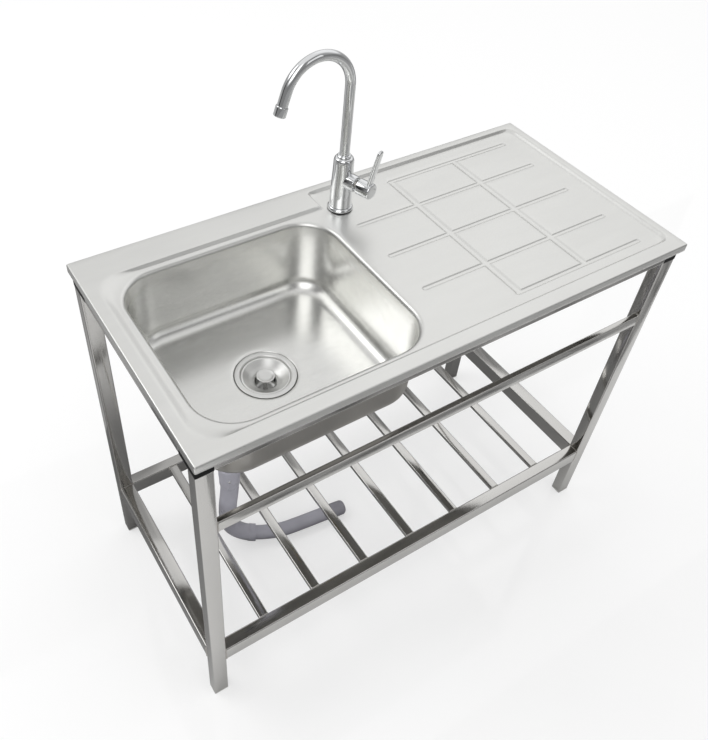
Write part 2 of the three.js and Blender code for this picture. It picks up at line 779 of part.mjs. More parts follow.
// The hose leaves the strainer straight down, swings aside in two equal arcs, passes straight through
// the coupling and leans a little on its way down to the elbow.
function dropRoute() {
  const points = [];
  const add = (share, z) => {
    points.push(new THREE.Vector3(drainX + share * aside.x, drainY + share * aside.y, z));
  };
  add(0, hoseTop);
  add(0, hoseTop - hoseStraight / 2);
  for (let i = 0; i <= swingSteps; i += 1) {
    const angle = (swingTurn * i) / swingSteps;
    add((swingRadius * (1 - Math.cos(angle))) / aside.length(), swingTop - swingRadius * Math.sin(angle));
  }
  for (let i = swingSteps - 1; i >= 0; i -= 1) {
    const angle = (swingTurn * i) / swingSteps;
    const share = 1 - (swingRadius * (1 - Math.cos(angle))) / aside.length();
    add(share, swingBottom + swingRadius * Math.sin(angle));
  }
  const straightEnd = swingBottom - couplingGap - couplingLength;
  add(1, swingBottom - couplingGap);
  add(1, straightEnd);
  for (let i = 1; i <= dropSteps; i += 1) {
    const share = i / dropSteps;
    const lean = 1 - THREE.MathUtils.smoothstep(share, 0, 0.8);
    const z = THREE.MathUtils.lerp(straightEnd, elbowTop + clearance, share);
    points.push(new THREE.Vector3(dropX + lean * dropLeanX, dropY + lean * dropLeanY, z));
  }
  return points;
}

// On the floor the hose leaves the elbow, turns a little to the right and ends in the sleeve.
function runRoute() {
  const step = runLength / runSteps;
  const start = elbowBend + clearance;
  let x = dropX + start * Math.cos(degrees(elbowHeading));
  let y = dropY + start * Math.sin(degrees(elbowHeading));
  const points = [];
  for (let i = 0; i <= runSteps; i += 1) {
    const share = i / runSteps;
    const sag = (runSag * (1 - Math.cos(2 * Math.PI * share))) / 2;
    const fall = THREE.MathUtils.smoothstep(share, 0, 1);
    points.push(new THREE.Vector3(x, y, THREE.MathUtils.lerp(elbowLevel, sleeveLevel, fall) - sag));
    const turned = Math.min(1, (i * step) / runTurnLength);
    const heading = degrees(THREE.MathUtils.lerp(elbowHeading, runHeading, turned));
    x += step * Math.cos(heading);
    y += step * Math.sin(heading);
  }
  return points;
}

function hose(name, route, radius, steps) {
  const path = new THREE.CatmullRomCurve3(route);
  return piece(name, sweep(roundShape(radius, 12), path, steps), 'greyPlastic');
}

function elbow() {
  const bend = new BendCurve(elbowBend, Math.PI / 2, 0);
  const tube = sweep(roundShape(elbowRadius, 14, elbowBore, 10), bend, 6);
  const mesh = piece('hose_elbow', tube, 'greyPlastic');
  mesh.rotation.set(Math.PI, 0, 0);
  const turned = group(mesh);
  turned.rotation.set(0, 0, degrees(elbowHeading));
  return placed(turned, dropX, dropY, elbowTop);
}

function coupling() {
  const inner = (dropRadius + clearance) / Math.cos(Math.PI / 20);
  const rib = 0.8;
  const top = -couplingGap;
  const bottom = top - couplingLength;
  const profile = [
    [inner, bottom], [couplingRadius - 1.5, bottom], [couplingRadius - rib, bottom + 3],
    [couplingRadius - rib, top - 26], [couplingRadius, top - 24], [couplingRadius, top - 3],
    [couplingRadius - 1.5, top], [inner, top], [inner, bottom],
  ];
  const mesh = piece('hose_coupling', revolve(profile, 20), 'darkPlastic');
  return placed(mesh, dropX + dropLeanX, dropY + dropLeanY, swingBottom);
}

function endSleeve() {
  const path = new THREE.CatmullRomCurve3(runRoute());
  const last = path.getPoint(1);
  const start = clearance;
  const end = start + sleeveLength;
  const profile = [
    [sleeveBore, start], [sleeveRadius - 1.5, start], [sleeveRadius, start + 2],
    [sleeveRadius, end - 6], [sleeveRadius - 2.5, end - 1.5], [sleeveRadius - 5, end],
    [sleeveBore, end], [sleeveBore, start],
  ];
  const mesh = piece('hose_end_sleeve', revolve(profile, 20).rotateY(Math.PI / 2), 'darkPlastic');
  mesh.quaternion.setFromUnitVectors(new THREE.Vector3(1, 0, 0), path.getTangent(1));
  return placed(mesh, last.x, last.y, last.z);
}

// ---------------------------------------------------------------- tap, in its own group on the deck

const baseBottom = clearance + baseSealHeight + clearance;
const baseTop = baseBottom + baseHeight;
const bodyBottom = baseTop + clearance;
const bodyTop = bodyBottom + bodyHeight;
const spoutBottom = bodyTop - spoutSocket + clearance;
const ringStart = armLength + 0.5 - ringLength;
const hubEnd = armLength + hubGap + hubLength;
const leverFoot = hubEnd - leverInset;

function tapBase() {
  const inner = shankRadius + 1;
  const profile = [
    [inner, baseBottom], [baseRadius, baseBottom], [baseRadius, baseBottom + 2],
    [bodyBottomRadius + 1, baseTop - 0.8], [bodyBottomRadius - 0.5, baseTop], [inner, baseTop],
    [inner, baseBottom],
  ];
  const seal = ring(inner, baseRadius - 1.5, clearance, clearance + baseSealHeight, 24);
  return [piece('tap_base_ring', revolve(profile, 28), 'chrome'), piece('tap_base_seal', seal, 'rubber')];
}

// A solid turned round the handle arm's axis, with its profile heights measured from the tap's axis.
function alongArm(geometry) {
  return geometry.rotateY(Math.PI / 2).translate(0, 0, armHeight);
}

function tapBody() {
  const profile = [
    [0, bodyBottom], [bodyBottomRadius - 1, bodyBottom], [bodyBottomRadius, bodyBottom + 1.5],
    [bodyBottomRadius - 1, bodyBottom + 0.35 * bodyHeight], [bodyTopRadius, bodyBottom + 0.8 * bodyHeight],
    [bodyTopRadius, bodyTop - 7], [bodyTopRadius - 1.5, bodyTop - 3], [bodyTopRadius - 4.5, bodyTop],
    [0, bodyTop],
  ];
  const barrel = toSolid(revolve(profile, 24));
  const arm = toSolid(alongArm(revolve([[0, 0], [armRadius, 0], [armRadius, armLength - 1],
    [armRadius - 1, armLength], [0, armLength]], 22)));
  const armBore = toSolid(alongArm(disc(cartridgeBore, cartridgeStart, armLength + 1, 20)));
  const spoutHole = toSolid(disc((spoutRadius + clearance) / Math.cos(Math.PI / 16),
    bodyTop - spoutSocket, bodyTop + 1, 16));
  const shankHole = toSolid(disc(shankRadius + clearance, bodyBottom - 1, bodyBottom + shankSocket, 20));
  const solid = barrel.add(arm).subtract(armBore).subtract(spoutHole).subtract(shankHole);
  const mesh = piece('tap_body', solid, 'chrome');
  mesh.rotation.set(0, 0, degrees(armHeading));
  return mesh;
}

function tapUnderside() {
  const shankTop = bodyBottom + shankSocket - clearance;
  const shank = ring(shankBore, shankRadius - clearance, shankTop - shankLength - shankSocket, shankTop, 20);
  const washerTop = -sheet - clearance;
  const washer = ring(shankRadius + clearance, tapWasherRadius, washerTop - tapWasherHeight, washerTop, 24);
  const nutTop = washerTop - tapWasherHeight - clearance;
  const hexagon = roundShape(tapNutRadius, 6, (shankRadius + clearance) / Math.cos(Math.PI / 18), 18);
  const nut = new THREE.ExtrudeGeometry(hexagon, { depth: tapNutHeight, bevelEnabled: false, steps: 1 });
  return [
    piece('tap_shank', shank, 'brass'),
    piece('tap_washer', washer, 'rubber'),
    placed(piece('tap_lock_nut', nut, 'brass'), 0, 0, nutTop - tapNutHeight),
  ];
}

function spout() {
  const bendBase = spoutRise;
  const sweepAngle = degrees(spoutSweep);
  const bend = new BendCurve(spoutBend, sweepAngle, bendBase);
  const bendEnd = bend.getPoint(1);
  const heading = new THREE.Vector3(Math.sin(sweepAngle), 0, Math.cos(sweepAngle));
  const tip = bendEnd.clone().addScaledVector(heading, spoutTip);
  const path = new THREE.CurvePath();
  path.add(new THREE.LineCurve3(new THREE.Vector3(0, 0, spoutBottom), new THREE.Vector3(0, 0, bendBase)));
  path.add(bend);
  path.add(new THREE.LineCurve3(bendEnd, tip));
  const tube = sweep(roundShape(spoutRadius, 14, spoutRadius - spoutWall, 8), path, 30);
  const collarBore = (spoutRadius + clearance) / Math.cos(Math.PI / 20);
  const collarBottom = bodyTop + clearance;
  const collarProfile = [
    [collarBore, collarBottom], [collarRadius, collarBottom], [collarRadius, collarBottom + 2],
    [collarRadius - 2, collarBottom + collarHeight], [collarBore, collarBottom + collarHeight],
    [collarBore, collarBottom],
  ];
  const turned = group(
    piece('spout_pipe', tube, 'chrome'),
    piece('spout_collar', revolve(collarProfile, 20), 'chrome'),
    aerator(tip, sweepAngle),
  );
  turned.rotation.set(0, 0, degrees(spoutHeading));
  return turned;
}

// The aerator's group has its Z axis along the spout's end, with zero at the pipe's last face.
function aerator(tip, sweepAngle) {
  const bore = (spoutRadius + clearance) / Math.cos(Math.PI / 20);
  const insertRadius = spoutRadius - 1;
  const end = aeratorLength - aeratorThread;
  const profile = [
    [bore, -aeratorThread], [aeratorRadius - 0.6, -aeratorThread], [aeratorRadius, -aeratorThread + 1],
    [aeratorRadius, end - 1], [aeratorRadius - 0.8, end], [insertRadius + clearance, end],
    [insertRadius + clearance, clearance], [bore, clearance], [bore, -aeratorThread],
  ];
  const plate = toSolid(disc(insertRadius, clearance, end - 1.5, 20));
  const holes = [];
  const holeCount = 6;
  for (let i = 0; i < holeCount; i += 1) {
    const turn = (i * 2 * Math.PI) / holeCount;
    const reach = insertRadius * 0.6;
    const hole = disc(1.4, -1, aeratorLength, 6);
    holes.push(toSolid(hole.translate(reach * Math.cos(turn), reach * Math.sin(turn), 0)));
  }
  holes.push(toSolid(disc(1.4, -1, aeratorLength, 6)));
  const assembly = group(
    piece('aerator_housing', revolve(profile, 20), 'chrome'),
    piece('aerator_insert', plate.subtract(joined(holes)), 'ceramic'),
  );
  assembly.rotation.set(0, sweepAngle, 0);
  return placed(assembly, tip.x, tip.y, tip.z);
}

function cartridge() {
  const radius = cartridgeBore - clearance;
  const core = alongArm(disc(radius, cartridgeStart + clearance, ringStart - clearance, 20));
  const stemHole = stemRadius + clearance;
  const stop = alongArm(ring(stemHole, radius, ringStart, ringStart + ringLength, 20));
  return [
    piece('mixer_cartridge', core, 'ceramic'),
    piece('cartridge_ring', stop, 'chrome'),
  ];
}

// The stem turns with the handle and ends in a ball, on which the hub tilts.
function cartridgeStem() {
  const shoulder = pivotDistance - hubGap;
  const profile = [[0, ringStart], [stemRadius, ringStart], [stemRadius, shoulder - 2],
    [stemRadius - 2, shoulder], [stemNeck, shoulder]];
  const steps = 5;
  const from = Math.asin(stemNeck / ballRadius);
  for (let i = 0; i <= steps; i += 1) {
    const angle = from + ((Math.PI - from) * i) / steps;
    const radius = i === steps ? 0 : ballRadius * Math.sin(angle);
    profile.push([radius, pivotDistance - ballRadius * Math.cos(angle)]);
  }
  return piece('cartridge_stem', alongArm(revolve(profile, 18)), 'brass');
}

function handleHub() {
  const start = armLength + hubGap;
  const boreEnd = pivotDistance - ballRadius / 2;
  const profile = [
    [0, boreEnd], [hubBore, boreEnd], [hubBore, start], [armRadius - 0.6, start],
    [armRadius, start + 0.8], [armRadius, hubEnd - 2.5], [armRadius - 1, hubEnd - 0.8],
    [armRadius - 3, hubEnd], [0, hubEnd],
  ];
  const shell = toSolid(alongArm(revolve(profile, 22)));
  const socketRadius = (ballRadius + clearance) / Math.cos(Math.PI / 18);
  const socket = toSolid(new THREE.SphereGeometry(socketRadius, 18, 10)
    .rotateX(Math.PI / 2).translate(pivotDistance, 0, armHeight));
  const pegRadius = (leverPeg + clearance) / Math.cos(Math.PI / 12);
  const pegHole = toSolid(disc(pegRadius, leverPegDepth, leverSeat * 2, 12)
    .rotateY(degrees(leverLean)).translate(leverFoot, 0, armHeight));
  return piece('handle_hub', shell.subtract(socket).subtract(pegHole), 'chrome');
}

// The flat lever blade, with a peg that enters the hub.
function leverBlade() {
  const lift = armRadius + 1;
  const bevel = 1.2;
  const rootHalf = leverRootWidth / 2 - bevel;
  const tipHalf = leverTipWidth / 2 - bevel;
  const shape = new THREE.Shape();
  shape.moveTo(-rootHalf, bevel);
  shape.lineTo(rootHalf, bevel);
  shape.lineTo(tipHalf, leverLength - tipHalf - bevel);
  shape.absarc(0, leverLength - tipHalf - bevel, tipHalf, 0, Math.PI);
  const blade = new THREE.ExtrudeGeometry(shape, {
    depth: leverThickness - 2 * bevel,
    bevelThickness: bevel,
    bevelSize: bevel,
    bevelSegments: 2,
    curveSegments: 5,
    steps: 1,
  });
  blade.translate(0, 0, -leverThickness / 2 + bevel);
  blade.rotateX(Math.PI / 2).rotateZ(Math.PI / 2).translate(0, 0, lift);
  const peg = disc(leverPeg, leverPegDepth + clearance, lift + 3, 12);
  const solid = toSolid(blade).add(toSolid(peg));
  const mesh = piece('lever_blade', solid, 'chrome');
  mesh.rotation.set(0, degrees(leverLean), 0);
  return placed(mesh, leverFoot, 0, armHeight);
}

function handle() {
  const turned = group(...cartridge(), cartridgeStem(), handleHub(), leverBlade());
  turned.rotation.set(0, 0, degrees(armHeading));
  return turned;
}

function tap() {
  return placed(group(...tapBase(), tapBody(), ...tapUnderside(), spout(), handle()), tapX, tapY, deck);
}

// ---------------------------------------------------------------- the whole unit

const unit = group(
  sinkTop(),
  ...eachCorner(leg),
  ...eachCorner(footPlug),
  ...eachCorner(cornerConnector),
  ...topRails(),
  middleRail(),
  ...shelf(),
  strainer(),
  hose('drain_hose_drop', dropRoute(), dropRadius, 27),
  coupling(),
  elbow(),
  hose('drain_hose_run', runRoute(), hoseRadius, 17),
  endSleeve(),
  tap(),
);

export default unit;
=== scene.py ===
"""A free-standing stainless steel sink unit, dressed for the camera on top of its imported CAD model."""
import math

import bmesh
import bpy
import numpy as np
from mathutils import Matrix, Vector
from mathutils.geometry import delaunay_2d_cdt


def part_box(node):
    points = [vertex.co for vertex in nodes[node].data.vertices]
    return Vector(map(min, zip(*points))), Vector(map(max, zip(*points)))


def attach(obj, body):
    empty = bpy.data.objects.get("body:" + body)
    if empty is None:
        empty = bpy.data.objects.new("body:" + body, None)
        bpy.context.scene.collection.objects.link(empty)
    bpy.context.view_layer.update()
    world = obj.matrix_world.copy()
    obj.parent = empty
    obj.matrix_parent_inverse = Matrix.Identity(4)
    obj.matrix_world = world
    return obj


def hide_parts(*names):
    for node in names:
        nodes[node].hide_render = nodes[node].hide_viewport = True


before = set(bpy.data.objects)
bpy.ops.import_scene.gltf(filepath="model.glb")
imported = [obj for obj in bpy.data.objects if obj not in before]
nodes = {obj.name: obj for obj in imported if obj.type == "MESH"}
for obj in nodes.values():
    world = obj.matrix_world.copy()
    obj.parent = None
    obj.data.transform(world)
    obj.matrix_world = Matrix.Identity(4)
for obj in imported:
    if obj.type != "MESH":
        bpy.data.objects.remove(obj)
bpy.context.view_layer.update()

MM = 0.001
STATIC = "unit"

# --- sizes, in millimetres

# pressed top
TOP_LENGTH = 1000.0
TOP_DEPTH = 485.0
RIM_HEIGHT = 786.0
RECESS_DEPTH = 6.0
FLANGE_DEPTH = 15.0
SHEET = 1.0
EDGE_RADIUS = 3.0
RIM = {"left": 18.5, "right": 14.0, "front": 26.5, "back": 14.5}
SLOPE = {"left": 20.0, "right": 10.0, "front": 7.0, "back": 6.0, "behind_bowl": 8.0}
LIP_LAND = 1.5
DRAINER_GAP = 8.0
RECESS_CORNER_LEFT = 40.0
RECESS_CORNER_RIGHT = 20.0

# bowl
BOWL_LENGTH = 400.0
BOWL_WIDTH = 361.0
BOWL_DEPTH = 150.0
BOWL_CORNER = 70.0
BOWL_LIP = 9.0
BOWL_FILLET = 30.0
BOWL_DRAFT = 3.0
DRAIN_SHIFT = -10.0
DRAIN_SEAT = 3.0
SEAT_RADIUS = 57.0
SEAT_MARGIN = 5.0
SEAT_EDGE = 55.5
DRAIN_HOLE = 46.1

# strainer and basket, with heights above the drain seat
FLANGE_RADIUS = 55.0
FLANGE_TOP = 3.3
CUP_DEPTH = 62.0
OUTLET_LENGTH = 20.0
BASKET_SEAT = -4.4
BASKET_DEPTH = 34.0
BASKET_WALL = 0.8

# the pressed top's mesh, with steps in numbers
GRID_PITCH = 9.0
LINE_GAP = 0.55
OPENING_GAP = 0.6
CORNER_STEPS = 14
SIDE_STEPS = 14
LIP_STEPS = 8
WALL_STEPS = 6
FILLET_STEPS = 12
FLOOR_STEPS = 12

# drainer grooves
GROOVE_DEPTH = 2.0
GROOVE_SHIFT = 2.0
ROW_SIDE = 4.0
COLUMN_SIDE = 7.0
ROW_WIDTH = 12.0
COLUMN_WIDTH = 19.0
ROW_PITCH = 99.0
EDGE_ROW_PITCH = 87.0
COLUMN_PITCH = 157.0
END_TILE = 142.0
FIRST_ROW_START = 38.0
GROOVE_END = 48.5

# stand
TUBE_RADIUS = 2.5
TUBE_SOFTNESS = 0.35
LEG_WALL = 1.5
RAIL_WALL = 1.2
WELD_RADIUS = 1.3
WELD_INSET = 0.3
WELD_SIDES = 8
BEVEL_ANGLE = 35.0

# drain hose
DROP_RADIUS = 20.0
HOSE_RADIUS = 16.5
HOSE_STRAIGHT = 18.0
SWING_RADIUS = 165.0
SWING_STEPS = 5
DROP_X = -303.5
DROP_Y = 73.0
DROP_LEAN = (6.0, -4.0)
DROP_STEPS = 5
COUPLING_RADIUS = 23.0
COUPLING_GAP = 10.0
COUPLING_LENGTH = 62.0
CLIP_DROP = 28.0
CLIP_HEADING = -115.0
ELBOW_RADIUS = 20.0
ELBOW_BORE = 16.5
ELBOW_BEND = 62.0
ELBOW_HEADING = -28.5
RUN_LENGTH = 189.0
RUN_INSERT = 10.0
RUN_STEPS = 14
RUN_TURN_LENGTH = 75.0
RUN_HEADING = -7.0
RUN_SAG = 2.2
SLEEVE_RADIUS = 17.5
SLEEVE_LENGTH = 34.0
SLEEVE_BORE = 13.0
FLOOR_GAP = 0.5
CLEARANCE = 0.3

# tap, with heights above the deck and lengths along the handle's arm
TAP_X = 3.0
TAP_Y = 165.0
TAP_HOLE_RADIUS = 15.0
BASE_RADIUS = 24.5
BODY_BOTTOM = 8.4
BODY_TOP = 109.9
BODY_LOW_RADIUS = 21.5
BODY_HIGH_RADIUS = 18.5
SPOUT_RADIUS = 9.0
SPOUT_WALL = 1.4
PIPE_FIT = 9.35
SPOUT_SOCKET = 28.0
SOCKET_RADIUS = 9.4
SPOUT_RISE = 247.0
SPOUT_BEND = 66.0
SPOUT_SWEEP = 161.0
SPOUT_TIP = 30.0
SPOUT_HEADING = 183.0
COLLAR_RADIUS = 13.0
AERATOR_RADIUS = 10.6
ARM_HEIGHT = 65.0
ARM_HEADING = -72.0
ARM_RADIUS = 15.0
ARM_LENGTH = 33.0
ARM_BORE = 12.6
HUB_START = 39.0
HUB_END = 68.0
PIVOT = 44.0
BALL_RADIUS = 5.37
LEVER_FOOT = 58.0
LEVER_LEAN = 12.0
LEVER_LENGTH = 74.0
LEVER_ROOT_WIDTH = 16.5
LEVER_TIP_WIDTH = 14.0
LEVER_THICKNESS = 3.7
LEVER_TAPER = 0.9

# --- places worked out from the sizes

LEFT = -TOP_LENGTH / 2
RIGHT = TOP_LENGTH / 2
FRONT = -TOP_DEPTH / 2
BACK = TOP_DEPTH / 2
DECK = RIM_HEIGHT - RECESS_DEPTH
BOWL_LEFT = LEFT + RIM["left"] + SLOPE["left"] + LIP_LAND + BOWL_LIP
BOWL_RIGHT = BOWL_LEFT + BOWL_LENGTH
BOWL_FRONT = FRONT + RIM["front"] + SLOPE["front"] + LIP_LAND + BOWL_LIP
BOWL_BACK = BOWL_FRONT + BOWL_WIDTH
BOWL_FLOOR = DECK - BOWL_DEPTH
DRAIN_X = (BOWL_LEFT + BOWL_RIGHT) / 2 + DRAIN_SHIFT
DRAIN_Y = (BOWL_FRONT + BOWL_BACK) / 2
SEAT_LEVEL = BOWL_FLOOR - DRAIN_SEAT
COUPLING_X = DROP_X + DROP_LEAN[0]
COUPLING_Y = DROP_Y + DROP_LEAN[1]

# --- camera

CAMERA_PLACE = (-0.7397, -0.8440, 1.6729)
CAMERA_YAW = 34.85
CAMERA_PITCH = -44.90
CAMERA_ROLL = 3.87
CAMERA_LENS = 39.23
CAMERA_SHIFT = (0.0548, -0.0418)


def add_camera():
    yaw, pitch, roll = (math.radians(a) for a in (CAMERA_YAW, CAMERA_PITCH, CAMERA_ROLL))
    forward = Vector((math.sin(yaw) * math.cos(pitch), math.cos(yaw) * math.cos(pitch), math.sin(pitch)))
    level = forward.cross(Vector((0, 0, 1))).normalized()
    upright = level.cross(forward)
    right = level * math.cos(roll) + upright * math.sin(roll)
    up = right.cross(forward)
    camera = bpy.data.objects.new("camera", bpy.data.cameras.new("camera"))
    camera.matrix_world = Matrix((right, up, -forward)).transposed().to_4x4()
    camera.location = CAMERA_PLACE
    camera.data.lens = CAMERA_LENS
    camera.data.sensor_width = 36.0
    camera.data.shift_x, camera.data.shift_y = CAMERA_SHIFT
    camera.data.clip_end = 100.0
    bpy.context.scene.collection.objects.link(camera)
    bpy.context.scene.camera = camera


# --- meshes

def plain_object(name, part):
    """A mesh from points in millimetres and faces."""
    points, faces = part
    mesh = bpy.data.meshes.new(name)
    mesh.from_pydata([tuple(c * MM for c in p) for p in points], [], faces)
    result = bpy.data.objects.new(name, mesh)
    bpy.context.scene.collection.objects.link(result)
    return result


def make_object(name, part, material, node=None, body=STATIC):
    """A smooth-shaded piece that rides on a body and may stand for a CAD node."""
    result = plain_object(name, part)
    result.data.validate()
    shade(result, 38)
    result.data.materials.append(material)
    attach(result, body)
    if node:
        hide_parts(node)
    outward(result)
    return result


def shade(obj, angle=30):
    """Smooth shading with creases where faces meet at more than an angle."""
    obj.data.polygons.foreach_set("use_smooth", [True] * len(obj.data.polygons))
    obj.data.set_sharp_from_angle(angle=math.radians(angle))


def outward(obj):
    """Turns a mesh's faces the same way, which is outwards where it is closed."""
    work = bmesh.new()
    work.from_mesh(obj.data)
    bmesh.ops.recalc_face_normals(work, faces=work.faces)
    work.to_mesh(obj.data)
    work.free()


def merged(*parts):
    points, faces = [], []
    for some_points, some_faces in parts:
        start = len(points)
        points.extend(some_points)
        faces.extend([tuple(start + i for i in face) for face in some_faces])
    return points, faces


def moved(part, matrix):
    points, faces = part
    return [matrix @ Vector(p) for p in points], faces


def turned_and_moved(part, heading, x, y, z):
    return moved(part, Matrix.Translation((x, y, z)) @ Matrix.Rotation(math.radians(heading), 4, "Z"))


def rings_to_faces(rings, count, loop=False, capped=True):
    """Faces through rings of as many points each, numbered one after another."""
    faces = []
    total = rings if loop else rings - 1
    for r in range(total):
        low, high = r * count, ((r + 1) % rings) * count
        for i in range(count):
            j = (i + 1) % count
            faces.append((low + i, low + j, high + j, high + i))
    if capped and not loop:
        faces.append(tuple(reversed(range(count))))
        faces.append(tuple((rings - 1) * count + i for i in range(count)))
    return faces


def rounded_profile(profile, steps=3):
    """A profile of (radius, height) or (radius, height, fillet) with its marked corners rounded."""
    result = []
    for i, entry in enumerate(profile):
        corner = Vector(entry[:2])
        fillet = entry[2] if len(entry) > 2 else 0
        before = Vector(profile[i - 1][:2])
        after = Vector(profile[(i + 1) % len(profile)][:2])
        if fillet <= 0 or i in (0, len(profile) - 1):
            result.append(tuple(corner))
            continue
        reach_in = min(fillet, (before - corner).length * 0.49)
        reach_out = min(fillet, (after - corner).length * 0.49)
        start = corner + (before - corner).normalized() * reach_in
        end = corner + (after - corner).normalized() * reach_out
        for k in range(steps + 1):
            t = k / steps
            point = start * (1 - t) ** 2 + corner * 2 * t * (1 - t) + end * t ** 2
            result.append(tuple(point))
    return result


def turned_surface(profile, segments, loop=False, capped=True):
    """A profile of (radius, height) turned round Z."""
    points = []
    for radius, height in profile:
        for i in range(segments):
            turn = 2 * math.pi * i / segments
            points.append((radius * math.cos(turn), radius * math.sin(turn), height))
    return points, rings_to_faces(len(profile), segments, loop, capped)


def revolve(profile, segments, loop=False):
    """A closed turned part. A loop closes on itself, and a plain profile ends on the axis."""
    return weld(*turned_surface(profile, segments, loop))


def ring_part(corners, segments):
    """A turned ring or shell from a closed profile with rounded corners."""
    return revolve(rounded_profile(corners), segments, loop=True)


def weld(points, faces):
    """Merges points that lie together, as a turned profile's points on its axis do."""
    index, unique, mapping = {}, [], []
    for p in points:
        key = tuple(round(c, 4) for c in p)
        if key not in index:
            index[key] = len(unique)
            unique.append(p)
        mapping.append(index[key])
    shrunk = (tuple(dict.fromkeys(mapping[i] for i in face)) for face in faces)
    return unique, [face for face in shrunk if len(face) > 2]


def outline(x0, x1, y0, y1, radii, corner_steps, side_steps=1):
    """A rectangle with round corners, counter-clockwise, with as many points whatever its size."""
    corners = ((x1, y0, -1, 1, -90), (x1, y1, -1, -1, 0), (x0, y1, 1, -1, 90), (x0, y0, 1, 1, 180))
    arcs = []
    for (x, y, in_x, in_y, start), radius in zip(corners, radii):
        arc = []
        for i in range(corner_steps + 1):
            angle = math.radians(start + 90 * i / corner_steps)
            arc.append((x + in_x * radius + radius * math.cos(angle),
                        y + in_y * radius + radius * math.sin(angle)))
        arcs.append(arc)
    points = []
    for i, arc in enumerate(arcs):
        points.extend(arc)
        start, end = arc[-1], arcs[(i + 1) % 4][0]
        for k in range(1, side_steps):
            t = k / side_steps
            points.append((start[0] + (end[0] - start[0]) * t, start[1] + (end[1] - start[1]) * t))
    return points


def sweep(path, radius, sides, inner=0.0):
    """A round tube along points, open ended with a wall where an inner radius is given."""
    path = [Vector(p) for p in path]
    tangents = []
    for i in range(len(path)):
        ahead = path[min(i + 1, len(path) - 1)] - path[max(i - 1, 0)]
        tangents.append(ahead.normalized())
    side = tangents[0].orthogonal().normalized()
    frames = []
    for tangent in tangents:
        side = (side - tangent * side.dot(tangent)).normalized()
        frames.append((side, tangent.cross(side)))

    def ring(i, r):
        a, b = frames[i]
        angles = [2 * math.pi * k / sides for k in range(sides)]
        return [path[i] + a * (r * math.cos(t)) + b * (r * math.sin(t)) for t in angles]

    points = []
    for i in range(len(path)):
        points.extend(ring(i, radius))
    if inner <= 0:
        return points, rings_to_faces(len(path), sides)
    for i in reversed(range(len(path))):
        points.extend(ring(i, inner))
    return points, rings_to_faces(2 * len(path), sides, loop=True)


def smooth_path(points, count):
    """Evenly spaced points on a smooth curve through the given ones."""
    p = np.array([tuple(q) for q in points], dtype=float)
    ends = np.vstack([2 * p[0] - p[1], p, 2 * p[-1] - p[-2]])
    dense = []
    for i in range(1, len(ends) - 2):
        a, b, c, d = ends[i - 1:i + 3]
        for t in np.linspace(0, 1, 16, endpoint=False):
            dense.append(0.5 * (2 * b + (c - a) * t + (2 * a - 5 * b + 4 * c - d) * t ** 2
                                + (3 * b - a - 3 * c + d) * t ** 3))
    dense.append(p[-1])
    dense = np.array(dense)
    run = np.concatenate([[0], np.cumsum(np.linalg.norm(np.diff(dense, axis=0), axis=1))])
    at = np.linspace(0, run[-1], count)
    return [Vector([np.interp(s, run, dense[:, k]) for k in range(3)]) for s in at]


# --- materials

def set_inputs(tree, node, inputs):
    """Sets a node's inputs to values, or links them to other nodes' sockets."""
    for key, value in inputs.items():
        if isinstance(value, bpy.types.NodeSocket):
            tree.links.new(value, node.inputs[key])
        else:
            node.inputs[key].default_value = value
    return node


def add_node(tree, kind, inputs=None):
    return set_inputs(tree, tree.nodes.new("ShaderNode" + kind), inputs or {})


def new_material(name, colour, metallic, roughness):
    material = bpy.data.materials.new(name)
    material.use_nodes = True
    tree = material.node_tree
    shader = set_inputs(tree, tree.nodes["Principled BSDF"], {
        "Base Color": (*colour, 1), "Metallic": metallic, "Roughness": roughness})
    return material, tree, shader


def own_place(tree):
    """The object's own coordinates."""
    return add_node(tree, "TexCoord").outputs["Object"]


def noise(tree, scale, stretch=(1, 1, 1), detail=3.0):
    """A noise texture in the object's own coordinates, stretched along its axes."""
    place = add_node(tree, "Mapping", {"Scale": stretch, "Vector": own_place(tree)})
    texture = add_node(tree, "TexNoise", {"Scale": scale, "Detail": detail, "Vector": place.outputs[0]})
    return texture.outputs["Fac"]


def ramp(tree, factor, low, high, span=(0.35, 0.65)):
    """Maps a texture's middle values to a range of values or colours."""
    node = add_node(tree, "ValToRGB", {"Fac": factor})
    for element, position, value in zip(node.color_ramp.elements, span, (low, high)):
        element.position = position
        element.color = (*value, 1) if hasattr(value, "__len__") else (value, value, value, 1)
    return node.outputs["Color"]


def add_bump(tree, shader, height, strength, distance):
    bump = add_node(tree, "Bump", {"Strength": strength, "Distance": distance, "Height": height})
    set_inputs(tree, shader, {"Normal": bump.outputs["Normal"]})


def mixed_values(tree, first, second, share):
    return add_node(tree, "Mix", {0: share, 2: first, 3: second}).outputs[0]


def mixed_colours(tree, share, first, second, blend="MIX"):
    node = add_node(tree, "Mix")
    node.data_type = "RGBA"
    node.blend_type = blend
    return set_inputs(tree, node, {0: share, 6: first, 7: second}).outputs[2]


def product(tree, first, second):
    node = add_node(tree, "Math", {0: first, 1: second})
    node.operation = "MULTIPLY"
    return node.outputs[0]


def smooth_range(tree, value, start, end, low=0.0, high=1.0):
    """One value up to the start, another from the end on, and a smooth change between them."""
    node = add_node(tree, "MapRange", {"Value": value, "From Min": start, "From Max": end, "To Min": low,
                                       "To Max": high})
    node.interpolation_type = "SMOOTHSTEP"
    return node.outputs[0]


def by_height(tree, low, high, low_value, high_value):
    """A value that changes smoothly with the height, in millimetres, in the object's own coordinates."""
    split = add_node(tree, "SeparateXYZ", {0: own_place(tree)})
    return smooth_range(tree, split.outputs["Z"], low * MM, high * MM, low_value, high_value)


def scaled_colour(colour, factor):
    return tuple(c * factor for c in colour)


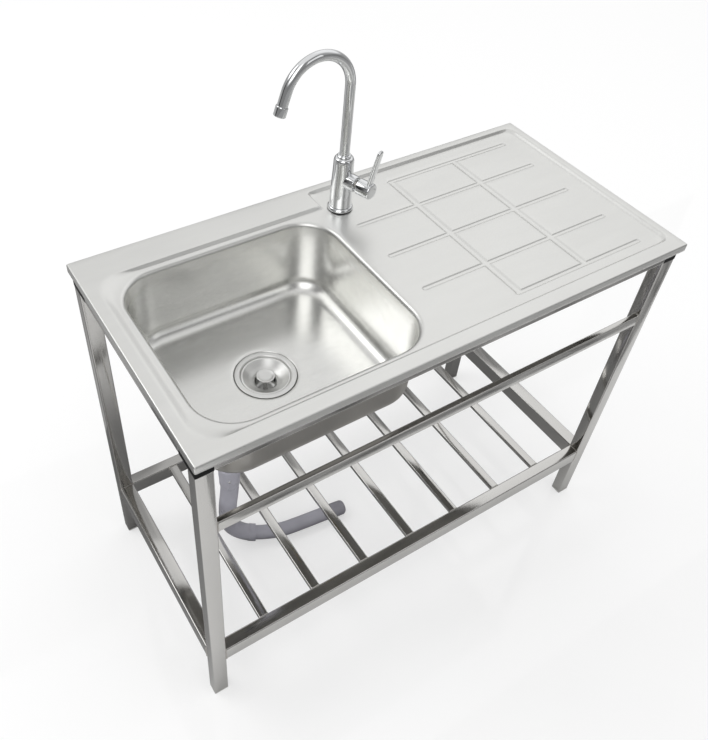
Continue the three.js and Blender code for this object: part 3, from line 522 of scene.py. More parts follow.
def steel(name, colour, roughness, axis, grain=0.08, spread=0.06, wear=0.95):
    """Stainless steel with grain lines along an axis, cloudy wear and faint handling marks."""
    material, tree, shader = new_material(name, colour, 1.0, roughness)
    stretch = [1.0, 1.0, 1.0]
    stretch[axis] = 0.02
    lines = noise(tree, 900.0, stretch, 2.0)
    clouds = noise(tree, 9.0)
    rough = [ramp(tree, texture, roughness - spread, roughness + spread) for texture in (clouds, lines)]
    set_inputs(tree, shader, {
        "Roughness": mixed_values(tree, *rough, 0.45),
        "Base Color": ramp(tree, clouds, scaled_colour(colour, wear), colour, (0.3, 0.7))})
    add_bump(tree, shader, lines, grain, 0.0002)
    return material


def pressed_steel():
    """The top's satin sheet: a fine even grain, soft clouds where it was wiped, and a smoother bowl."""
    colour = (0.80, 0.80, 0.78)
    material, tree, shader = new_material("pressed_steel", colour, 1.0, 0.34)
    grain = noise(tree, 2600.0, (0.25, 1, 1), 2.0)
    clouds = noise(tree, 5.0, (1, 1, 1), 5.0)
    smears = noise(tree, 30.0, (0.25, 1, 1), 4.0)
    soft = mixed_values(tree, ramp(tree, clouds, 0.29, 0.37), ramp(tree, smears, 0.29, 0.36), 0.4)
    rough = mixed_values(tree, soft, ramp(tree, grain, 0.27, 0.42), 0.35)
    smoother = by_height(tree, DECK - 40, DECK - 6, 0.78, 1.0)
    set_inputs(tree, shader, {
        "Roughness": product(tree, rough, smoother),
        "Base Color": ramp(tree, smears, scaled_colour(colour, 0.965), colour, (0.3, 0.65))})
    add_bump(tree, shader, grain, 0.05, 0.0002)
    return material


def chrome():
    colour = (0.86, 0.87, 0.88)
    material, tree, shader = new_material("tap_chrome", colour, 1.0, 0.045)
    film = noise(tree, 38.0, (1, 1, 1), 4.0)
    set_inputs(tree, shader, {"Roughness": ramp(tree, film, 0.03, 0.085),
                              "Base Color": ramp(tree, film, scaled_colour(colour, 0.97), colour)})
    return material


def plastic(name, colour, roughness, speckle=0.88, grain=0.12, scale=700.0):
    """Moulded plastic with a fine moulded grain and a little uneven colour."""
    material, tree, shader = new_material(name, colour, 0.0, roughness)
    fine = noise(tree, scale)
    broad = noise(tree, 22.0)
    set_inputs(tree, shader, {
        "Base Color": ramp(tree, broad, scaled_colour(colour, speckle), colour, (0.3, 0.7)),
        "Roughness": ramp(tree, broad, roughness - 0.06, roughness + 0.06)})
    add_bump(tree, shader, fine, grain, 0.0003)
    return material


def hose_with_painted_shade(name, colour, low, high, low_share):
    """Hose plastic with painted shade: its colour darkens towards the floor."""
    material = plastic(name, colour, 0.34, 0.9, 0.06, 500.0)
    tree = material.node_tree
    shader = tree.nodes["Principled BSDF"]
    tint = shader.inputs["Base Color"].links[0].from_socket
    # painted shade: the colour is multiplied down near the floor
    share = by_height(tree, low, high, low_share, 1.0)
    set_inputs(tree, shader, {"Base Color": mixed_colours(tree, 1.0, tint, share, "MULTIPLY")})
    return material


def connector_black():
    """Matt black plastic that takes hardly any light from the bright floor."""
    material = plastic("connector_plastic", (0.005, 0.005, 0.0055), 0.6, 0.7, 0.2, 800.0)
    tree = material.node_tree
    set_inputs(tree, tree.nodes["Principled BSDF"], {"Specular IOR Level": 0.2})
    return material


# --- pressed top

def round_rectangle_distance(x, y, x0, x1, y0, y1, radii):
    """Signed distance to a rectangle with its own radius at each corner, negative inside."""
    centre_x, centre_y = (x0 + x1) / 2, (y0 + y1) / 2
    right, back = x > centre_x, y > centre_y
    radius = np.where(right, np.where(back, radii[1], radii[0]), np.where(back, radii[2], radii[3]))
    away_x = np.abs(x - centre_x) - (x1 - x0) / 2 + radius
    away_y = np.abs(y - centre_y) - (y1 - y0) / 2 + radius
    outside = np.hypot(np.maximum(away_x, 0), np.maximum(away_y, 0))
    return outside + np.minimum(np.maximum(away_x, away_y), 0) - radius


def sunk_share(x, y, top, slopes, top_radii, low_radii):
    """How far down a recess's slope each point lies: 0 at its upper edge, 1 on its floor."""
    low, high = np.zeros_like(x), np.ones_like(x)

    def outside(share):
        radii = [a + (b - a) * share for a, b in zip(top_radii, low_radii)]
        return round_rectangle_distance(
            x, y, top[0] + slopes[0] * share, top[1] - slopes[1] * share,
            top[2] + slopes[2] * share, top[3] - slopes[3] * share, radii)

    for _ in range(18):
        middle = (low + high) / 2
        inside = outside(middle) <= 0
        low = np.where(inside, middle, low)
        high = np.where(inside, high, middle)
    return np.where(outside(np.zeros_like(x)) > 0, 0.0, low)


def eased(share, rounding=0.3):
    """A straight slope whose two ends are rounded over a share of its width."""
    r = rounding
    peak = 1.0 / (1.0 - r)
    low = peak * share ** 2 / (2 * r)
    middle = peak * (share - r / 2)
    high = 1 - peak * (1 - share) ** 2 / (2 * r)
    return np.where(share < r, low, np.where(share > 1 - r, high, middle))


def recess_depth(x, y):
    """The depth of the sunk floor inside the rim, at each point."""
    right, front = RIGHT - RIM["right"], FRONT + RIM["front"]
    corner, opening = RECESS_CORNER_RIGHT, BOWL_CORNER + BOWL_LIP + LIP_LAND
    behind = BOWL_BACK + BOWL_LIP + LIP_LAND + SLOPE["behind_bowl"]
    around_bowl = sunk_share(
        x, y, (LEFT + RIM["left"], right, front, behind),
        (SLOPE["left"], SLOPE["right"], SLOPE["front"], SLOPE["behind_bowl"]),
        (corner, corner, RECESS_CORNER_LEFT, RECESS_CORNER_LEFT), (corner, corner, opening, opening))
    drainer_radii = (corner, corner, DRAINER_GAP, DRAINER_GAP)
    drainer = sunk_share(
        x, y, (BOWL_RIGHT + BOWL_LIP + DRAINER_GAP, right, front, BACK - RIM["back"]),
        (SLOPE["back"], SLOPE["right"], SLOPE["front"], SLOPE["back"]), drainer_radii, drainer_radii)
    return RECESS_DEPTH * eased(np.maximum(around_bowl, drainer))


def groove_boxes():
    """The grooves' outer boxes, rows first."""
    middle = (FRONT + RIM["front"] + BACK - RIM["back"] - SLOPE["back"]) / 2 - GROOVE_SHIFT
    row_end = RIGHT - RIM["right"] - GROOVE_END
    row_start = BOWL_RIGHT + BOWL_LIP + FIRST_ROW_START
    columns = [row_end - END_TILE, row_end - END_TILE - COLUMN_PITCH]
    edge_start = min(columns) - COLUMN_WIDTH / 2
    reach = ROW_PITCH + EDGE_ROW_PITCH
    rows = [(-reach, edge_start), (-ROW_PITCH, row_start), (0, row_start), (ROW_PITCH, row_start),
            (reach, edge_start)]
    boxes = [(start, row_end, middle + y - ROW_WIDTH / 2, middle + y + ROW_WIDTH / 2) for y, start in rows]
    ends = reach + ROW_WIDTH / 2
    boxes += [(x - COLUMN_WIDTH / 2, x + COLUMN_WIDTH / 2, middle - ends, middle + ends) for x in columns]
    return boxes


def groove_side(box):
    """The width of a groove's slope: rows run along X, and the wider columns along Y."""
    x0, x1, y0, y1 = box
    return ROW_SIDE if x1 - x0 > y1 - y0 else COLUMN_SIDE


def groove_depth(x, y):
    deepest = np.zeros_like(x)
    for box in groove_boxes():
        x0, x1, y0, y1 = box
        radius = min(x1 - x0, y1 - y0) / 2
        inside = -round_rectangle_distance(x, y, x0, x1, y0, y1, [radius] * 4)
        share = np.clip(inside / groove_side(box), 0, 1)
        deepest = np.maximum(deepest, eased(share, 0.45))
    return GROOVE_DEPTH * deepest


def top_height(x, y):
    return RIM_HEIGHT - recess_depth(x, y) - groove_depth(x, y)


def refined_lines(start, end, coarse, features):
    """Grid lines from start to end, with extra ones at the given places."""
    lines = set(np.round(np.linspace(start, end, int((end - start) / coarse) + 1), 3))
    extra = set(round(f, 3) for f in features if start < f < end)
    kept = sorted(extra | {round(start, 3), round(end, 3)})
    for line in lines:
        if min(abs(line - k) for k in kept) > coarse * 0.35:
            kept.append(line)
    return np.array(sorted(kept))


def top_grid():
    """The grid's lines, close together where the sheet bends."""
    xs, ys = [], []
    for i, box in enumerate(groove_boxes()):
        x0, x1, y0, y1 = box
        side = np.linspace(0, groove_side(box), 6)
        end = np.linspace(0, min(x1 - x0, y1 - y0) / 2, 6)
        for values, low, high, is_row in ((xs, x0, x1, i < 5), (ys, y0, y1, i >= 5)):
            offsets = end if is_row else side
            values.extend([*(low + offsets), *(high - offsets)])
    slopes_x = ((LEFT + RIM["left"], SLOPE["left"]), (RIGHT - RIM["right"] - SLOPE["right"], SLOPE["right"]),
                (BOWL_RIGHT + BOWL_LIP + DRAINER_GAP, SLOPE["back"]))
    behind = BOWL_BACK + BOWL_LIP + LIP_LAND
    slopes_y = ((FRONT + RIM["front"], SLOPE["front"]), (behind, SLOPE["behind_bowl"]),
                (BACK - RIM["back"] - SLOPE["back"], SLOPE["back"]))
    grid = []
    for values, slopes, low, high in ((xs, slopes_x, LEFT, RIGHT), (ys, slopes_y, FRONT, BACK)):
        for start, width in slopes:
            values.extend(start + np.linspace(-0.1, 1.1, 10) * width)
        values = sorted(set(np.round(values, 2)))
        kept = values[:1]
        for value in values[1:]:
            if value - kept[-1] > LINE_GAP:
                kept.append(value)
        grid.append(refined_lines(low + EDGE_RADIUS, high - EDGE_RADIUS, GRID_PITCH, kept))
    return grid


def beyond_opening(x, y):
    """The distance outwards from the bowl's opening in the deck."""
    lip = BOWL_LIP
    return round_rectangle_distance(x, y, BOWL_LEFT - lip, BOWL_RIGHT + lip, BOWL_FRONT - lip,
                                    BOWL_BACK + lip, [BOWL_CORNER + lip] * 4)


def bowl_outline(offset):
    radius = max(BOWL_CORNER + offset, 1)
    return outline(BOWL_LEFT - offset, BOWL_RIGHT + offset, BOWL_FRONT - offset, BOWL_BACK + offset,
                   [radius] * 4, CORNER_STEPS, SIDE_STEPS)


def deck_mesh():
    """The top outside the bowl: a grid's points and faces, its outer loop and its stepped inner one."""
    x_lines, y_lines = top_grid()
    nx, ny = len(x_lines), len(y_lines)
    gx, gy = np.meshgrid(x_lines, y_lines, indexing="ij")
    free = beyond_opening(gx, gy) > OPENING_GAP
    heights = top_height(gx.ravel(), gy.ravel()).reshape(gx.shape)
    points = [(gx[i, j], gy[i, j], heights[i, j]) for i in range(nx) for j in range(ny)]
    faces, edges = [], {}
    for i in range(nx - 1):
        for j in range(ny - 1):
            quad = (i * ny + j, (i + 1) * ny + j, (i + 1) * ny + j + 1, i * ny + j + 1)
            if free[i, j] and free[i + 1, j] and free[i + 1, j + 1] and free[i, j + 1]:
                faces.append(quad)
                for a, b in zip(quad, quad[1:] + quad[:1]):
                    if (b, a) in edges:
                        del edges[(b, a)]
                    else:
                        edges[(a, b)] = True
    step = {a: b for a, b in edges}
    outer = loop_from(step, 0)
    inner_start = next(a for a in step if a not in set(outer))
    stairs = loop_from(step, inner_start)
    return points, faces, outer, stairs


def loop_from(step, start):
    loop = [start]
    while step[loop[-1]] != start:
        loop.append(step[loop[-1]])
    return loop


def fill_ring(points, stairs, ring):
    """Triangles between the grid's stepped edge and the bowl's round opening."""
    indices = list(stairs) + list(ring)
    flat = [Vector(points[i][:2]) for i in indices]
    n, m = len(stairs), len(ring)
    edges = [(i, (i + 1) % n) for i in range(n)] + [(n + i, n + (i + 1) % m) for i in range(m)]
    _, _, triangles, originals, _, _ = delaunay_2d_cdt(flat, edges, [], 1, 1e-5)
    result = []
    for triangle in triangles:
        real = [indices[originals[i][0]] for i in triangle]
        centre = sum((Vector(points[i][:2]) for i in real), Vector((0, 0))) / 3
        if beyond_opening(np.array([centre.x]), np.array([centre.y]))[0] >= 0:
            a, b, c = (Vector(points[i][:2]) for i in real)
            turn = (b - a).cross(c - a)
            result.append(tuple(real) if turn > 0 else tuple(reversed(real)))
    return result


def bowl_rings():
    """The bowl's rings of points from its opening down to the drain hole."""
    rings = []
    for k in range(LIP_STEPS + 1):
        angle = math.radians(90 * k / LIP_STEPS)
        offset = BOWL_LIP - BOWL_LIP * math.sin(angle)
        rings.append((bowl_outline(offset), DECK - BOWL_LIP + BOWL_LIP * math.cos(angle)))
    top, low = DECK - BOWL_LIP, BOWL_FLOOR + BOWL_FILLET
    for k in range(1, WALL_STEPS):
        t = k / WALL_STEPS
        rings.append((bowl_outline(-BOWL_DRAFT * t), top + (low - top) * t))
    for k in range(FILLET_STEPS + 1):
        angle = math.radians(90 * k / FILLET_STEPS)
        offset = -BOWL_DRAFT - BOWL_FILLET + BOWL_FILLET * math.cos(angle)
        rings.append((bowl_outline(offset), low - BOWL_FILLET * math.sin(angle)))
    edge = rings[-1][0]
    for k in range(1, FLOOR_STEPS + 1):
        rings.append((blend_to_circle(edge, SEAT_RADIUS + SEAT_MARGIN, k / FLOOR_STEPS), BOWL_FLOOR))
    for radius, drop in ((SEAT_EDGE + 1.6, 0.25), (SEAT_EDGE + 0.7, 0.9), (SEAT_EDGE, 2.0),
                         (SEAT_EDGE - 0.4, DRAIN_SEAT), (DRAIN_HOLE, DRAIN_SEAT)):
        rings.append((blend_to_circle(edge, radius, 1), BOWL_FLOOR - drop))
    return rings


def blend_to_circle(edge, radius, share):
    """An outline drawn in towards a circle round the drain."""
    result = []
    for x, y in edge:
        away = Vector((x - DRAIN_X, y - DRAIN_Y))
        on_circle = Vector((DRAIN_X, DRAIN_Y)) + away.normalized() * radius
        result.append(tuple(Vector((x, y)).lerp(on_circle, share)))
    return result


def add_edge(points, faces, outer):
    """Rolls the sheet's outer edge over and down into the flange."""
    x_end, y_end = RIGHT - EDGE_RADIUS, BACK - EDGE_RADIUS
    corner_steps = 5
    entries = []
    for index in outer:
        x, y, _ = points[index]
        on_x, on_y = abs(abs(x) - x_end) < 1e-3, abs(abs(y) - y_end) < 1e-3
        if on_x and on_y:
            start = {(-1, -1): 180, (1, -1): 270, (1, 1): 0, (-1, 1): 90}[(int(np.sign(x)), int(np.sign(y)))]
            angles = [start + 90 * k / corner_steps for k in range(corner_steps + 1)]
            entries += [(index, math.cos(math.radians(a)), math.sin(math.radians(a))) for a in angles]
        elif on_x:
            entries.append((index, float(np.sign(x)), 0.0))
        else:
            entries.append((index, 0.0, float(np.sign(y))))
    profile = [(EDGE_RADIUS * math.sin(math.radians(a)), EDGE_RADIUS * (1 - math.cos(math.radians(a))))
               for a in (15, 30, 45, 60, 75, 90)]
    profile += [(EDGE_RADIUS, 6.0), (EDGE_RADIUS, 10.5), (EDGE_RADIUS, FLANGE_DEPTH)]
    last = [entry[0] for entry in entries]
    count = len(entries)
    for out, drop in profile:
        start = len(points)
        for index, dir_x, dir_y in entries:
            x, y, _ = points[index]
            points.append((x + dir_x * out, y + dir_y * out, RIM_HEIGHT - drop))
        ring = list(range(start, start + count))
        for i in range(count):
            j = (i + 1) % count
            faces.append(tuple(dict.fromkeys((last[i], ring[i], ring[j], last[j]))))
        last = ring


def tap_hole_faces(points, faces):
    """The faces outside the tap's hole, whose rim hides under the tap's base ring."""
    kept = []
    for face in faces:
        centre = sum((Vector(points[i][:2]) for i in face), Vector((0, 0))) / len(face)
        if (centre - Vector((TAP_X, TAP_Y))).length > TAP_HOLE_RADIUS:
            kept.append(face)
    return kept


def sink_top(material, under):
    points, faces, outer, stairs = deck_mesh()
    rings = bowl_rings()
    count = len(rings[0][0])
    first = len(points)
    for ring, height in rings:
        points.extend((x, y, height) for x, y in ring)
    faces += fill_ring(points, stairs, range(first, first + count))
    faces += [tuple(first + i for i in face) for face in rings_to_faces(len(rings), count, capped=False)]
    add_edge(points, faces, outer)
    faces = tap_hole_faces(points, faces)
    sheet = make_object("sink_top_sheet", (points, faces), material, "sink_top")
    tidy_mesh(sheet)
    thick = sheet.modifiers.new("sheet", "SOLIDIFY")
    thick.thickness = SHEET * MM
    thick.offset = -1
    thick.use_even_offset = False
    # the hidden face takes the darker steel, painted shade
    sheet.data.materials.append(under)
    thick.material_offset = 1


def tidy_mesh(obj):
    """Drops loose points and turns all faces the same way, outwards or upwards."""
    work = bmesh.new()
    work.from_mesh(obj.data)
    loose = [v for v in work.verts if not v.link_faces]
    bmesh.ops.delete(work, geom=loose, context="VERTS")
    bmesh.ops.recalc_face_normals(work, faces=work.faces)
    highest = max(work.faces, key=lambda face: face.calc_center_median().z)
    if highest.normal.z < 0:
        bmesh.ops.reverse_faces(work, faces=work.faces)
    for edge in work.edges:
        edge.smooth = True
    work.to_mesh(obj.data)
    work.free()


# --- stand

def node_box(node):
    """The low and high corner of a node's box, in millimetres."""
    return [Vector(c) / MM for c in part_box(node)]


def long_axis(node):
    low, high = node_box(node)
    return max(range(3), key=lambda i: high[i] - low[i])


def across_axis(ring, axis, along):
    """An outline laid across an axis at a place along it."""
    return [(*pair[:axis], along, *pair[axis:]) for pair in ring]


def tube_between(node, axis, wall):
    """A rectangular tube with round corners that fills a straight node's box along an axis."""
    low, high = node_box(node)
    a, b = (i for i in range(3) if i != axis)

    def section(inset, radius):
        return outline(low[a] + inset, high[a] - inset, low[b] + inset, high[b] - inset, [radius] * 4, 5)

    soft = TUBE_SOFTNESS
    outer, inner = section(0, TUBE_RADIUS), section(wall, max(TUBE_RADIUS - wall, 0.4))
    soft_outer = section(soft, TUBE_RADIUS - soft)
    points = []
    for ring, along in ((inner, low[axis]), (soft_outer, low[axis]), (outer, low[axis] + soft),
                        (outer, high[axis] - soft), (soft_outer, high[axis]), (inner, high[axis])):
        points.extend(across_axis(ring, axis, along))
    return points, rings_to_faces(6, len(outer), loop=True)


def stand_tubes(materials):
    for name in sorted(nodes):
        if name.startswith(("leg_", "shelf_", "top_rail", "middle_rail")):
            axis = long_axis(name)
            tube = tube_between(name, axis, RAIL_WALL if axis < 2 else LEG_WALL)
            make_object(name + "_tube", tube, materials[axis], name)


def weld_bead(name, axis, end, material):
    """A ripple of weld round the end of a straight tube, where it meets what carries it."""
    low, high = node_box(name)
    a, b = (i for i in range(3) if i != axis)
    inset = WELD_INSET
    ring = outline(low[a] + inset, high[a] - inset, low[b] + inset, high[b] - inset, [TUBE_RADIUS] * 4, 4, 12)
    path = [Vector(p) for p in across_axis(ring, axis, low[axis] if end < 0 else high[axis])]
    points, sides, count = [], WELD_SIDES, len(path)
    for i, point in enumerate(path):
        tangent = (path[(i + 1) % count] - path[i - 1]).normalized()
        outwards = Vector((0, 0, 0))
        outwards[axis] = 1
        sideways = tangent.cross(outwards)
        size = WELD_RADIUS * (1 + 0.18 * math.sin(i * 2.1) + 0.1 * math.sin(i * 5.3 + end))
        for k in range(sides):
            turn = 2 * math.pi * k / sides
            points.append(point + sideways * (size * math.cos(turn)) + outwards * (size * math.sin(turn)))
    label = "start" if end < 0 else "end"
    make_object(f"weld_{name}_{label}", (points, rings_to_faces(count, sides, loop=True)), material)


def welds(material):
    names = [f"shelf_slat_{i}" for i in range(1, 8)]
    names += [f"shelf_rail_{side}" for side in ("left", "right", "front", "back")] + ["middle_rail_front"]
    for name in names:
        for end in (-1, 1):
            weld_bead(name, long_axis(name), end, material)


# --- CAD pieces that keep their shape

def dress(names, material, bevel):
    """Gives CAD pieces a material and softens their edges."""
    for name in names:
        piece = nodes[name]
        piece.data.materials.clear()
        piece.data.materials.append(material)
        soft = piece.modifiers.new("soft_edges", "BEVEL")
        soft.width = bevel * MM
        soft.segments = 2
        soft.limit_method = "ANGLE"
        soft.angle_limit = math.radians(BEVEL_ANGLE)


# --- strainer

def at_drain(name, part, material, node, body=STATIC):
    return make_object(name, turned_and_moved(part, 0, DRAIN_X, DRAIN_Y, SEAT_LEVEL), material, node,
                       body)


def strainer(metal, plastic_material):
    top, rim = FLANGE_TOP, FLANGE_RADIUS
    cup, lower, ledge, bottom = 45.5, 37.5, top - 8.0, top - CUP_DEPTH
    outlet = bottom - OUTLET_LENGTH
    body = ring_part([
        (18, outlet, 0), (20, outlet, 0.5), (20, bottom, 1.5), (lower - 5, bottom, 4),
        (lower, bottom + 6, 3), (lower, ledge - 3, 1.5), (cup, ledge - 0.5, 1.5), (cup, 2.0, 0.5),
        (rim - 0.4, 2.0, 0.3), (rim, 2.4, 0.4), (rim - 0.6, top - 0.3, 0.6), (rim - 2.2, top, 1.0),
        (46.4, top, 1.0), (44.3, top - 2.2, 1.0), (44.3, ledge, 0.8), (lower - 1.2, ledge - 1, 0.8),
        (lower - 1.2, bottom + 6, 3), (lower - 6, bottom + 1.2, 3), (18, bottom + 1.2, 1),
        (18, outlet + 1, 0)], 96)
    at_drain("strainer_flange", body, metal, "strainer_body")
    nut = ring_part([(46, -18.1, 0), (51.5, -18.1, 1), (51.5, -6.3, 0.8), (57, -6.3, 0.8), (57, -3.2, 0.8),
                     (46, -3.2, 0)], 72)
    lugs = [turned_box(51, 56.6, 7, -18.1, -5.8, 60 * i) for i in range(6)]
    at_drain("strainer_lock_nut_ribbed", merged(nut, *lugs), plastic_material,
             "strainer_lock_nut")


def turned_box(r0, r1, width, z0, z1, heading):
    """A radial block with a slight crown on its outer face."""
    half = width / 2
    points, crown = [], 0.8
    for z in (z0, z1):
        points += [(r0, -half, z), (r1, -half, z), (r1 + crown, 0, z), (r1, half, z), (r0, half, z)]
    return turned_and_moved((points, rings_to_faces(2, 5)), heading, 0, 0, 0)


def basket_cup(metal):
    """The lift-out basket with a rolled rim, a dish and slots through its throat."""
    seat, throat = BASKET_SEAT, 20.2
    bottom, dish = seat - BASKET_DEPTH, seat - 7.0
    wall_top, wall_bottom = dish - 4, bottom + 6
    slots, per_slot = 12, 6
    segments = slots * per_slot
    outer = rounded_profile([
        (34.3, seat, 0), (43.9, seat, 0.5), (44, seat + 4, 1.5), (42.5, seat + 5, 1.2),
        (40.6, seat + 4.6, 1.0), (38, seat + 2.6, 2.0), (30, seat - 3.2, 3.0), (23, dish, 2.0),
        (throat, dish - 2.5, 1.2)], 4)
    floor = rounded_profile([(throat, wall_bottom, 0), (20, bottom + 3.5, 2.5), (16, bottom + 1, 2.5),
                             (0, bottom + 1, 0)], 4)
    upper = turned_surface(outer + [(throat, wall_top)], segments, capped=False)
    lower = turned_surface([(throat, wall_bottom)] + floor[1:], segments, capped=False)
    bars = slot_bars(throat, wall_bottom, wall_top, slots, per_slot)
    basket = at_drain("basket_cup", weld(*merged(upper, lower, bars)), metal,
                      "strainer_basket", "basket")
    thick = basket.modifiers.new("wall", "SOLIDIFY")
    thick.thickness = BASKET_WALL * MM
    thick.offset = 0


def slot_bars(radius, z0, z1, slots, per_slot):
    """The strips of wall that stand between the slots."""
    points, faces = [], []
    segments = slots * per_slot
    for i in range(segments):
        if i % per_slot < per_slot // 2:
            continue
        a, b = 2 * math.pi * i / segments, 2 * math.pi * (i + 1) / segments
        start = len(points)
        for turn, z in ((a, z0), (b, z0), (b, z1), (a, z1)):
            points.append((radius * math.cos(turn), radius * math.sin(turn), z))
        faces.append(tuple(range(start, start + 4)))
    return points, faces


def basket_knob(metal):
    low, top = BASKET_SEAT - BASKET_DEPTH + 1.3, BASKET_SEAT + 5
    profile = rounded_profile([
        (0, low, 0), (5, low, 0.6), (5, low + 2, 0.6), (3, low + 3, 0.8), (3, top - 6, 1.2),
        (13.5, top - 3.5, 1.5), (16.4, top - 1.6, 0.8), (16.2, top, 0.5), (14.3, top + 0.1, 0.8),
        (10.5, top - 1.5, 2.0), (0, top - 1.2, 0)], 4)
    at_drain("basket_knob_turned", revolve(profile, 72), metal, "basket_knob", "basket")


# --- drain hose

def hose_levels():
    """Where the hose starts and its swing aside begins and ends, with the way aside and each arc's turn."""
    hose_top = SEAT_LEVEL + FLANGE_TOP - CUP_DEPTH - OUTLET_LENGTH - 10 * CLEARANCE
    aside = Vector((COUPLING_X - DRAIN_X, COUPLING_Y - DRAIN_Y))
    turn = math.acos(1 - aside.length / (2 * SWING_RADIUS))
    swing_top = hose_top - HOSE_STRAIGHT
    swing_bottom = swing_top - 2 * SWING_RADIUS * math.sin(turn)
    return hose_top, aside, turn, swing_top, swing_bottom


def drop_route():
    """Straight down from the strainer, aside in two arcs, through the coupling, then a slight lean."""
    hose_top, aside, turn, swing_top, swing_bottom = hose_levels()
    reach = aside.length
    places = [(0, hose_top), (0, hose_top - HOSE_STRAIGHT / 2)]
    for i in range(SWING_STEPS + 1):
        angle = turn * i / SWING_STEPS
        places.append((SWING_RADIUS * (1 - math.cos(angle)) / reach,
                       swing_top - SWING_RADIUS * math.sin(angle)))
    for i in reversed(range(SWING_STEPS)):
        angle = turn * i / SWING_STEPS
        places.append((1 - SWING_RADIUS * (1 - math.cos(angle)) / reach,
                       swing_bottom + SWING_RADIUS * math.sin(angle)))
    straight_end = swing_bottom - COUPLING_GAP - COUPLING_LENGTH
    places += [(1, swing_bottom - COUPLING_GAP), (1, straight_end)]
    points = [Vector((DRAIN_X + s * aside.x, DRAIN_Y + s * aside.y, z)) for s, z in places]
    end = ELBOW_RADIUS + FLOOR_GAP + ELBOW_BEND + CLEARANCE
    for i in range(1, DROP_STEPS + 1):
        share = i / DROP_STEPS
        lean = 1 - smooth_share(share / 0.8)
        points.append(Vector((DROP_X + lean * DROP_LEAN[0], DROP_Y + lean * DROP_LEAN[1],
                              straight_end + (end - straight_end) * share)))
    return points


def smooth_share(t):
    t = min(max(t, 0), 1)
    return t * t * (3 - 2 * t)


def from_drop(reach, height):
    """A point at a distance from the drop's lower end, along the elbow's heading."""
    heading = math.radians(ELBOW_HEADING)
    return DROP_X + reach * math.cos(heading), DROP_Y + reach * math.sin(heading), height


def run_route():
    """On the floor the hose leaves the elbow's bore, turns a little and ends in the sleeve."""
    step = RUN_LENGTH / RUN_STEPS
    heading = math.radians(ELBOW_HEADING)
    x, y, first = from_drop(ELBOW_BEND + CLEARANCE, ELBOW_RADIUS + FLOOR_GAP)
    last = SLEEVE_RADIUS + FLOOR_GAP
    points = []
    for inside in (RUN_INSERT, RUN_INSERT / 2):
        turn = inside / ELBOW_BEND
        reach, rise = ELBOW_BEND * (1 - math.sin(turn)), ELBOW_BEND * (1 - math.cos(turn))
        points.append(Vector(from_drop(reach, first + rise)))
    for i in range(RUN_STEPS + 1):
        share = i / RUN_STEPS
        sag = RUN_SAG * (1 - math.cos(2 * math.pi * share)) / 2
        points.append(Vector((x, y, first + (last - first) * smooth_share(share) - sag)))
        turned = min(1, i * step / RUN_TURN_LENGTH)
        heading = math.radians(ELBOW_HEADING + (RUN_HEADING - ELBOW_HEADING) * turned)
        x, y = x + step * math.cos(heading), y + step * math.sin(heading)
    return points


def hose_with_fittings(drop_material, run_material, fitting_material, metal):
    drop, run = smooth_path(drop_route(), 90), smooth_path(run_route(), 44)
    coupling_top = hose_levels()[-1] - COUPLING_GAP
    drop_hose = make_object("hose_drop_tube", sweep(drop, DROP_RADIUS, 48), drop_material,
                            "drain_hose_drop")
    run_hose = make_object("hose_run_tube", sweep(run, HOSE_RADIUS, 40), run_material,
                           "drain_hose_run")
    elbow = hose_elbow(run_material)
    coupling = hose_coupling(drop_material, coupling_top)
    band, screw = hose_clip(drop_material, metal, coupling_top - CLIP_DROP)
    sleeve = hose_sleeve(fitting_material, run)
    hose_nut(fitting_material)


def hose_elbow(material):
    """A moulded bend with a collar at each end."""
    path = []
    for i in range(25):
        turn = math.radians(90 * i / 24)
        reach, drop = ELBOW_BEND * (1 - math.cos(turn)), ELBOW_BEND * math.sin(turn)
        path.append(Vector(from_drop(reach, ELBOW_RADIUS + FLOOR_GAP + ELBOW_BEND - drop)))
    tube = sweep(path, ELBOW_RADIUS - 0.9, 48, ELBOW_BORE + 0.1)
    collars = [sweep(ends, ELBOW_RADIUS, 48, 18.0) for ends in (path[:5], path[-5:])]
    return make_object("hose_elbow_moulded", merged(tube, *collars), material, "hose_elbow")


def hose_coupling(material, top):
    bottom, bore, outer = top - COUPLING_LENGTH, DROP_RADIUS + CLEARANCE, COUPLING_RADIUS
    ring = ring_part([
        (bore, bottom, 0), (outer - 1.6, bottom, 0.6), (outer - 0.8, bottom + 3, 1),
        (outer - 0.8, top - 26, 0.8), (outer, top - 24, 0.6), (outer, top - 3, 1), (outer - 1.5, top, 0.8),
        (bore, top, 0)], 56)
    return make_object("hose_coupling_ring", turned_and_moved(ring, 0, COUPLING_X, COUPLING_Y, 0), material,
                       "hose_coupling")


def hose_clip(material, metal, height):
    """A low band round the coupling with a bright screw through its boss."""
    inner = COUPLING_RADIUS - 0.75
    ring = revolve([(inner, -4.5), (inner + 0.8, -4.2), (inner + 0.8, 4.2), (inner, 4.5)], 56, loop=True)
    boss = rounded_profile([(0, inner - 0.3, 0), (4.6, inner - 0.3, 0), (4.6, inner + 2.0, 0.8),
                            (0, inner + 2.0, 0)])
    head = rounded_profile([(0, inner + 2.05, 0), (3.0, inner + 2.05, 0), (2.8, inner + 3.3, 0.8),
                            (0, inner + 3.6, 0)])
    lay = Matrix.Rotation(math.radians(90), 4, "Y")
    pieces = []
    for name, part, look, slot in (
            ("hose_clip_band", merged(ring, moved(revolve(boss, 32), lay)), material, "fitting_plastic"),
            ("hose_clip_screw", moved(revolve(head, 32), lay), metal, "frame_steel")):
        placed = turned_and_moved(part, CLIP_HEADING, COUPLING_X, COUPLING_Y, height)
        pieces.append(make_object(name, placed, look))
    return pieces


def pointing(part, ahead, place):
    """A part turned round Z, put at a place and pointed ahead."""
    turn = Vector((0, 0, 1)).rotation_difference(ahead).to_matrix().to_4x4()
    return moved(part, Matrix.Translation(place) @ turn)


